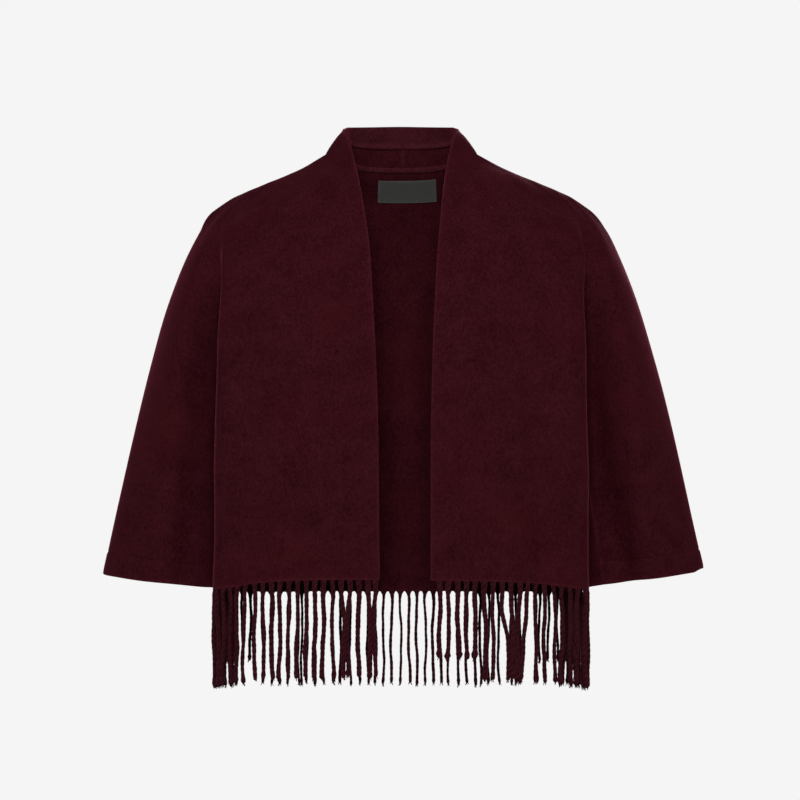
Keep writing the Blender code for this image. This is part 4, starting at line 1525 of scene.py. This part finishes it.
@dataclass(frozen=True)
class Strand:
    """One twisted strand, which sways, leans and thickens in its own way."""

    root: Point              # where it leaves the hem
    along: Point             # level direction along the hem
    half_sizes: tuple[float, float]      # along the hem and out from it
    gather: Callable[[float], float]     # shift along the hem at a share of its length
    length: float
    phases: Point            # of its sways
    lean: Point
    turn: float              # of its plies at the root
    thick: float
    knot: float

    @property
    def out(self) -> Point:
        """Level direction out from the hem."""
        return np.array((self.along[1], -self.along[0], 0.0))

    def middle(self, down: float) -> Point:
        """Middle of the strand at a distance below the hem."""
        share = down / self.length
        free = smooth(down / STIFF_LENGTH)
        side, depth = (
            sum(height * math.sin(down * math.tau / wave + phase)
                for (wave, height), phase in zip(SWAYS, phases)) * free * sway + lean * share * lean_share
            for phases, sway, lean, lean_share in zip(self.phases, SWAY_SHARES, self.lean, LEAN_SHARES))
        side += self.gather(share)
        return self.root + self.along * side + self.out * depth - np.array((0.0, 0.0, down))

    def ring(self, down: float) -> tuple[list[Point], list[float]]:
        """Points round the strand at a distance below the hem, and how far its plies rise."""
        rooted = 1.0 - smooth(down / ROOT_LENGTH)
        loose = 1.0 - rooted
        spread = ROOT_WIDTHS[0] + ROOT_WIDTHS[1] * math.sin(self.turn * 3.0)
        reach = ROOT_REACHES[0] + ROOT_REACHES[1] * math.sin(self.turn * 5.0)
        flare = float(np.interp(down / reach, *zip(*ROOT_FLARE))) * spread ** rooted
        from_knot = (down - self.length + KNOT_PLACE[0]) / KNOT_PLACE[1]
        uneven = 1.0 + UNEVEN[1] * math.sin(down * math.tau / UNEVEN[0] + self.turn)
        tip = float(np.interp(self.length - down, *zip(*TIP_TAPER)))
        size = (1.0 + self.knot * math.exp(-from_knot * from_knot)) * uneven ** loose * tip
        width = (flare + (self.half_sizes[0] - ROOT_FLARE[-1][1]) * loose) * self.thick ** loose
        depth = (CLOTH / 2.0 - 0.1) * rooted + self.half_sizes[1] * self.thick * loose
        twist = self.turn + max(down, 0.0) / TWIST_PITCH * math.tau
        middle = self.middle(down)
        ring, rises = [], []
        for side in range(STRAND_SIDES):
            angle = math.tau * side / STRAND_SIDES
            ply = math.cos(2.0 * (angle - twist))
            radius = (1.0 + TWIST_RISE * ply * loose) * size
            ring.append(middle + self.along * math.cos(angle) * width * radius
                        + self.out * math.sin(angle) * depth * radius)
            # How far a ply rises here, which the yarn paints as light on its crown and shade in its
            # grooves.
            rises.append(0.5 + 0.5 * ply * (1.0 - 0.6 * rooted))
        return ring, rises

    def add_to(self, yarn: YarnMesh) -> None:
        """Add the strand's tube to a mesh."""
        downs = [ROOT_FLARE[0][0], *ROOT_RINGS]
        downs += list(np.arange(ROOT_RINGS[-1] + STRAND_STEP, self.length - 3.0, STRAND_STEP))
        downs += [self.length - height for height, _ in reversed(TIP_TAPER)]
        rings, rises = zip(*(self.ring(down) for down in downs))
        yarn.add_tube(rings, rises)


@dataclass(frozen=True)
class Fringe:
    """Twisted strands along one hem."""

    name: str
    seed: int
    clumps: tuple[Clump, ...] = ()
    short_to: float = 0.0    # strands up to here along the hem are cut shorter
    short_length: float = 88.0
    start_gap: float = FRINGE_END_GAP
    fillings: tuple[Filling, ...] = ()
    half_width: float = 2.5
    half_depth: float = 2.05

    def root_places(self, total: float) -> list[float]:
        """Distances along the hem of the middles of the strands."""
        usable = total - self.start_gap - FRINGE_END_GAP - STRAND_WIDTH
        count = int(round(usable / FRINGE_PITCH)) + 1
        first = self.start_gap + STRAND_WIDTH / 2.0
        return [first + strand * usable / (count - 1) for strand in range(count)]

    def gathered(self, places: Sequence[float], strand: int, down: float) -> float:
        """Shift of a strand along the hem towards the others in its clump."""
        here = places[strand]
        for clump in self.clumps:
            members = [place for place in places if clump.first <= place <= clump.last]
            if here not in members:
                continue
            middle = (members[0] + members[-1]) / 2.0
            order = members.index(here) - (len(members) - 1) / 2.0
            target = middle + order * clump.spacing
            return (target - here) * smooth((down - clump.start + 0.45) / 0.5)
        return 0.0

    def filling_length(self, across: float) -> float:
        """Length of the strands that fill the gaps in front at an x, or 0 where none do."""
        return next((span.length for span in self.fillings if span.first <= across <= span.last), 0.0)

    def build(self, hem: HemPath, before: Sequence[Point] = ()) -> bpy.types.Object:
        """Hang the strands.

        Args:
            hem: the hem that they hang from.
            before: roots of the strands that hang in front of them.

        Returns:
            The finished object.
        """
        yarn = YarnMesh(self.name)
        chance = np.random.RandomState(self.seed)
        between = [(root + after) / 2.0 for root, after in zip(before, before[1:])]
        fills = [self.filling_length(hem.at(place)[0][0]) for place in self.root_places(hem.total)]
        places = [hem.behind(place, between if fill else before)
                  for place, fill in zip(self.root_places(hem.total), fills)]
        for number, (place, fill) in enumerate(zip(places, fills)):
            root, along = hem.at(place)
            short = place < self.short_to
            full = self.short_length if short else fill or FRINGE_LENGTH
            strand = Strand(root, along, (self.half_width, self.half_depth),
                            gather=lambda down: self.gathered(places, number, down),
                            length=full * chance.uniform(TRIM, 1.0),
                            phases=chance.uniform(0.0, math.tau, (2, len(SWAYS))),
                            lean=chance.uniform(-LEAN, LEAN, 2),
                            turn=chance.uniform(0.0, math.tau),
                            thick=chance.uniform(*THICKNESSES),
                            knot=SHORT_KNOT if short else chance.choice(KNOTS))
            strand.add_to(yarn)
            self.fray(yarn, strand.middle(strand.length), chance)
        return yarn.finished(YARN.material())

    @staticmethod
    def fray(yarn: YarnMesh, tip: Point, chance: np.random.RandomState) -> None:
        """Fray the end of a strand into a few loose fibres.

        Args:
            yarn: mesh that takes them.
            tip: end of the strand.
            chance: source of their unevenness.
        """
        for _ in range(FRAY_COUNT):
            spread = chance.uniform(-1.0, 1.0, 2)
            length = chance.uniform(*FRAY_LENGTHS)
            path = []
            for share in FRAY_STOPS:
                flare = 0.9 + 0.9 * share + 0.5 * math.sin(share * 5.0 + spread[0] * 3.0)
                path.append(tip + np.array((spread[0] * flare, spread[1] * flare, 2.0 - length * share)))
            yarn.add_thread(path, chance.uniform(*FRAY_RADII), 5, 0.4)


# ---------------------------------------------------------------- the jacket

LEFT_FRINGE = Fringe(
    "fringe_front_left_yarn", 11, (Clump(78.0, 112.0, 0.62, 5.2), Clump(138.0, 178.0, 0.3, 8.6)),
    short_to=52.0, start_gap=8.0)
RIGHT_FRINGE = Fringe(
    "fringe_front_right_yarn", 12, (
        Clump(0.0, 16.0, 0.3), Clump(32.0, 52.0, 0.45, 4.8), Clump(76.0, 90.0, 0.75),
        Clump(112.0, 125.0, 0.85), Clump(150.0, 190.0, 0.25, 8.4)))
BACK_FRINGE = Fringe(
    "fringe_back_yarn", 17, (
        Clump(70.0, 84.0, 0.8), Clump(150.0, 162.0, 0.9), Clump(330.0, 342.0, 0.8)),
    fillings=(Filling(-215.0, -165.0, 84.0), Filling(95.0, 119.0, FRINGE_LENGTH),
              Filling(165.0, 215.0, 84.0)),
    half_width=1.7, half_depth=1.55)


@dataclass
class Jacket:
    """The whole garment, dressed around its solids."""

    front_roots: list[Point] = field(default_factory=list)

    def keep(self, piece: bpy.types.Object, node: str) -> bpy.types.Object:
        """Make a piece stand for a node of the frame, and report it.

        Args:
            piece: the finished object.
            node: the node that it replaces.

        Returns:
            The same object.
        """
        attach(piece, BODY)
        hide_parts(node)
        LOG.info("%s: %d faces", piece.name, len(piece.data.polygons))
        return piece

    @staticmethod
    def hem_path(cloth: ClothMesh, shift: int) -> HemPath:
        """A panel's hem between its seams, or from its front edge to its seam."""
        found = [(vert[cloth.along], np.array(vert.co) / MM) for vert in cloth.mesh.verts
                 if vert[cloth.level] > HEM - HAIR and vert[cloth.column] <= SIDE + shift + HAIR]
        path = [point for _, point in sorted(found, key=lambda pair: pair[0])]
        return HemPath(path if shift or path[0][0] > 0.0 else path[::-1])

    def build_front(self, side: Side, fringe: Fringe) -> None:
        """Build a front with its half of the collar, its turned-in hem and its fringe."""
        cloth = ClothMesh(f"front_{side.word}_cloth")
        Panel(Face.FRONT, side).add_to(cloth)
        CollarHalf(side).add_to(cloth)
        cloth.settle(lambda place: Vector((place.x - 0.1 * side.value, -0.1, 0.0)))
        hem = self.hem_path(cloth, 0)
        self.front_roots += [hem.at(place)[0] for place in fringe.root_places(hem.total)]
        front = cloth.shell(CLOTH, WOOL.material())
        self.keep(front, f"front_{side.word}")
        turned = self.keep(CollarHem(side).build(), f"collar_hem_{side.word}")
        strands = self.keep(fringe.build(hem), f"fringe_front_{side.word}")

    def build_back(self) -> None:
        """Build the back with its neck ridge, label and fringe."""
        cloth = ClothMesh("back_cloth")
        for side in Side:
            Panel(Face.REAR, side).add_to(cloth)
        cloth.settle(lambda place: Vector((0.0, 0.1, 0.0)))
        hem = self.hem_path(cloth, REAR_SHIFT)
        back = cloth.shell(CLOTH, WOOL.material())
        self.keep(back, "back")
        ridge = self.keep(NeckRidge().build(), "neck_seam_ridge")
        label = self.keep(NeckLabel().build(), "label")
        stitches = NeckLabel().stitches()
        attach(stitches, BODY)
        strands = self.keep(BACK_FRINGE.build(hem, self.front_roots), "fringe_back")

    def build(self) -> None:
        """Build every piece."""
        self.build_front(Side.LEFT, LEFT_FRINGE)
        self.build_front(Side.RIGHT, RIGHT_FRINGE)
        self.build_back()


# ---------------------------------------------------------------- studio

@dataclass(frozen=True)
class SoftBox:
    """Large soft light with a grid over it, aimed at the jacket's middle."""

    name: str
    place: tuple[float, float, float]
    size: tuple[float, float]
    power: float
    aim: tuple[float, float, float] = (0.0, 0.0, -0.27)
    spread: float = 80.0     # degrees

    def build(self) -> None:
        """Hang the light."""
        bpy.ops.object.light_add(type="AREA", location=self.place)
        lamp = bpy.context.active_object
        lamp.name = self.name
        lamp.data.shape = "RECTANGLE"
        lamp.data.size, lamp.data.size_y = self.size
        lamp.data.energy = self.power
        lamp.data.spread = math.radians(self.spread)
        lamp.visible_camera = False
        lamp.rotation_euler = (Vector(self.aim) - Vector(self.place)).to_track_quat("-Z", "Y").to_euler()


@dataclass(frozen=True)
class Studio:
    """Pale floor, even light all round, soft boxes on four sides and the camera."""

    distance: float = 3.5            # from the camera to the jacket's middle
    eye: float = -0.2668             # height of the camera
    frame_width: float = 0.92        # width of the view at the jacket's middle
    sensor: float = 36.0
    floor_drop: float = -1.42        # a wearer's shoulder height below the shoulders
    floor_radius: float = 5.2
    backdrop: float = 0.913          # brightness behind the jacket
    fill: float = 0.05               # brightness of the even light on it
    boxes: tuple[SoftBox, ...] = (
        SoftBox("front_box", (-0.05, -4.0, 1.3), (1.3, 1.3), 25.5),
        SoftBox("left_box", (3.7, -1.5, 0.2), (1.6, 1.8), 5.5),
        SoftBox("right_box", (-3.7, -1.5, 0.2), (1.6, 1.8), 5.5),
        SoftBox("rear_box", (0.8, 3.9, 1.2), (1.4, 1.6), 29.0),
    )

    def build(self) -> None:
        """Set up the floor, lights and camera."""
        self.build_floor()
        self.light_all_round()
        for box in self.boxes:
            box.build()
        self.place_camera()

    def build_floor(self) -> None:
        """Lay the pale floor."""
        bpy.ops.object.select_all(action="DESELECT")
        bpy.ops.mesh.primitive_circle_add(vertices=96, radius=self.floor_radius, fill_type="NGON",
                                          location=(0.0, 0.0, self.floor_drop))
        floor = bpy.context.active_object
        floor.name = "floor"
        bpy.ops.object.transform_apply(location=True, rotation=False, scale=False)
        floor.data.materials.append(PAPER.material())
        floor.visible_diffuse = False
        floor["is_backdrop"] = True

    def light_all_round(self) -> None:
        """Light the jacket evenly all round, before a brighter plain backdrop."""
        graph = Graph(bpy.data.worlds.new("studio"))
        lit, seen = (graph.node("ShaderNodeBackground", None, {"Color": (grey, grey, grey, 1.0)})
                     for grey in (self.fill, self.backdrop))
        ray = graph.node("ShaderNodeLightPath")
        both = graph.node("ShaderNodeMixShader", None, {
            0: ray.outputs["Is Camera Ray"], 1: lit.outputs[0], 2: seen.outputs[0]})
        graph.node("ShaderNodeOutputWorld", None, {"Surface": both.outputs[0]})
        bpy.context.scene.world = graph.owner
        bpy.context.scene.view_settings.view_transform = "Standard"

    def place_camera(self) -> None:
        """Set the camera level in front of the jacket."""
        place = (0.0, -self.distance, self.eye)
        bpy.ops.object.camera_add(location=place, rotation=(math.pi / 2.0, 0.0, 0.0))
        camera = bpy.context.active_object
        camera.data.sensor_width = self.sensor
        camera.data.lens = self.sensor * self.distance / self.frame_width
        bpy.context.scene.camera = camera


def corners(box: object) -> list[list[float]]:
    """A box's two corners as plain lists."""
    return [[float(value) for value in corner] for corner in box]


def main() -> None:
    """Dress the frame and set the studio."""
    logging.basicConfig(level=logging.INFO, format="%(name)s: %(message)s")
    solid_box = corners(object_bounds())
    Studio().build()
    Jacket().build()
    json.dumps({"cad": solid_box, "visual": corners(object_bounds())})


if __name__ == "__main__":
    main()
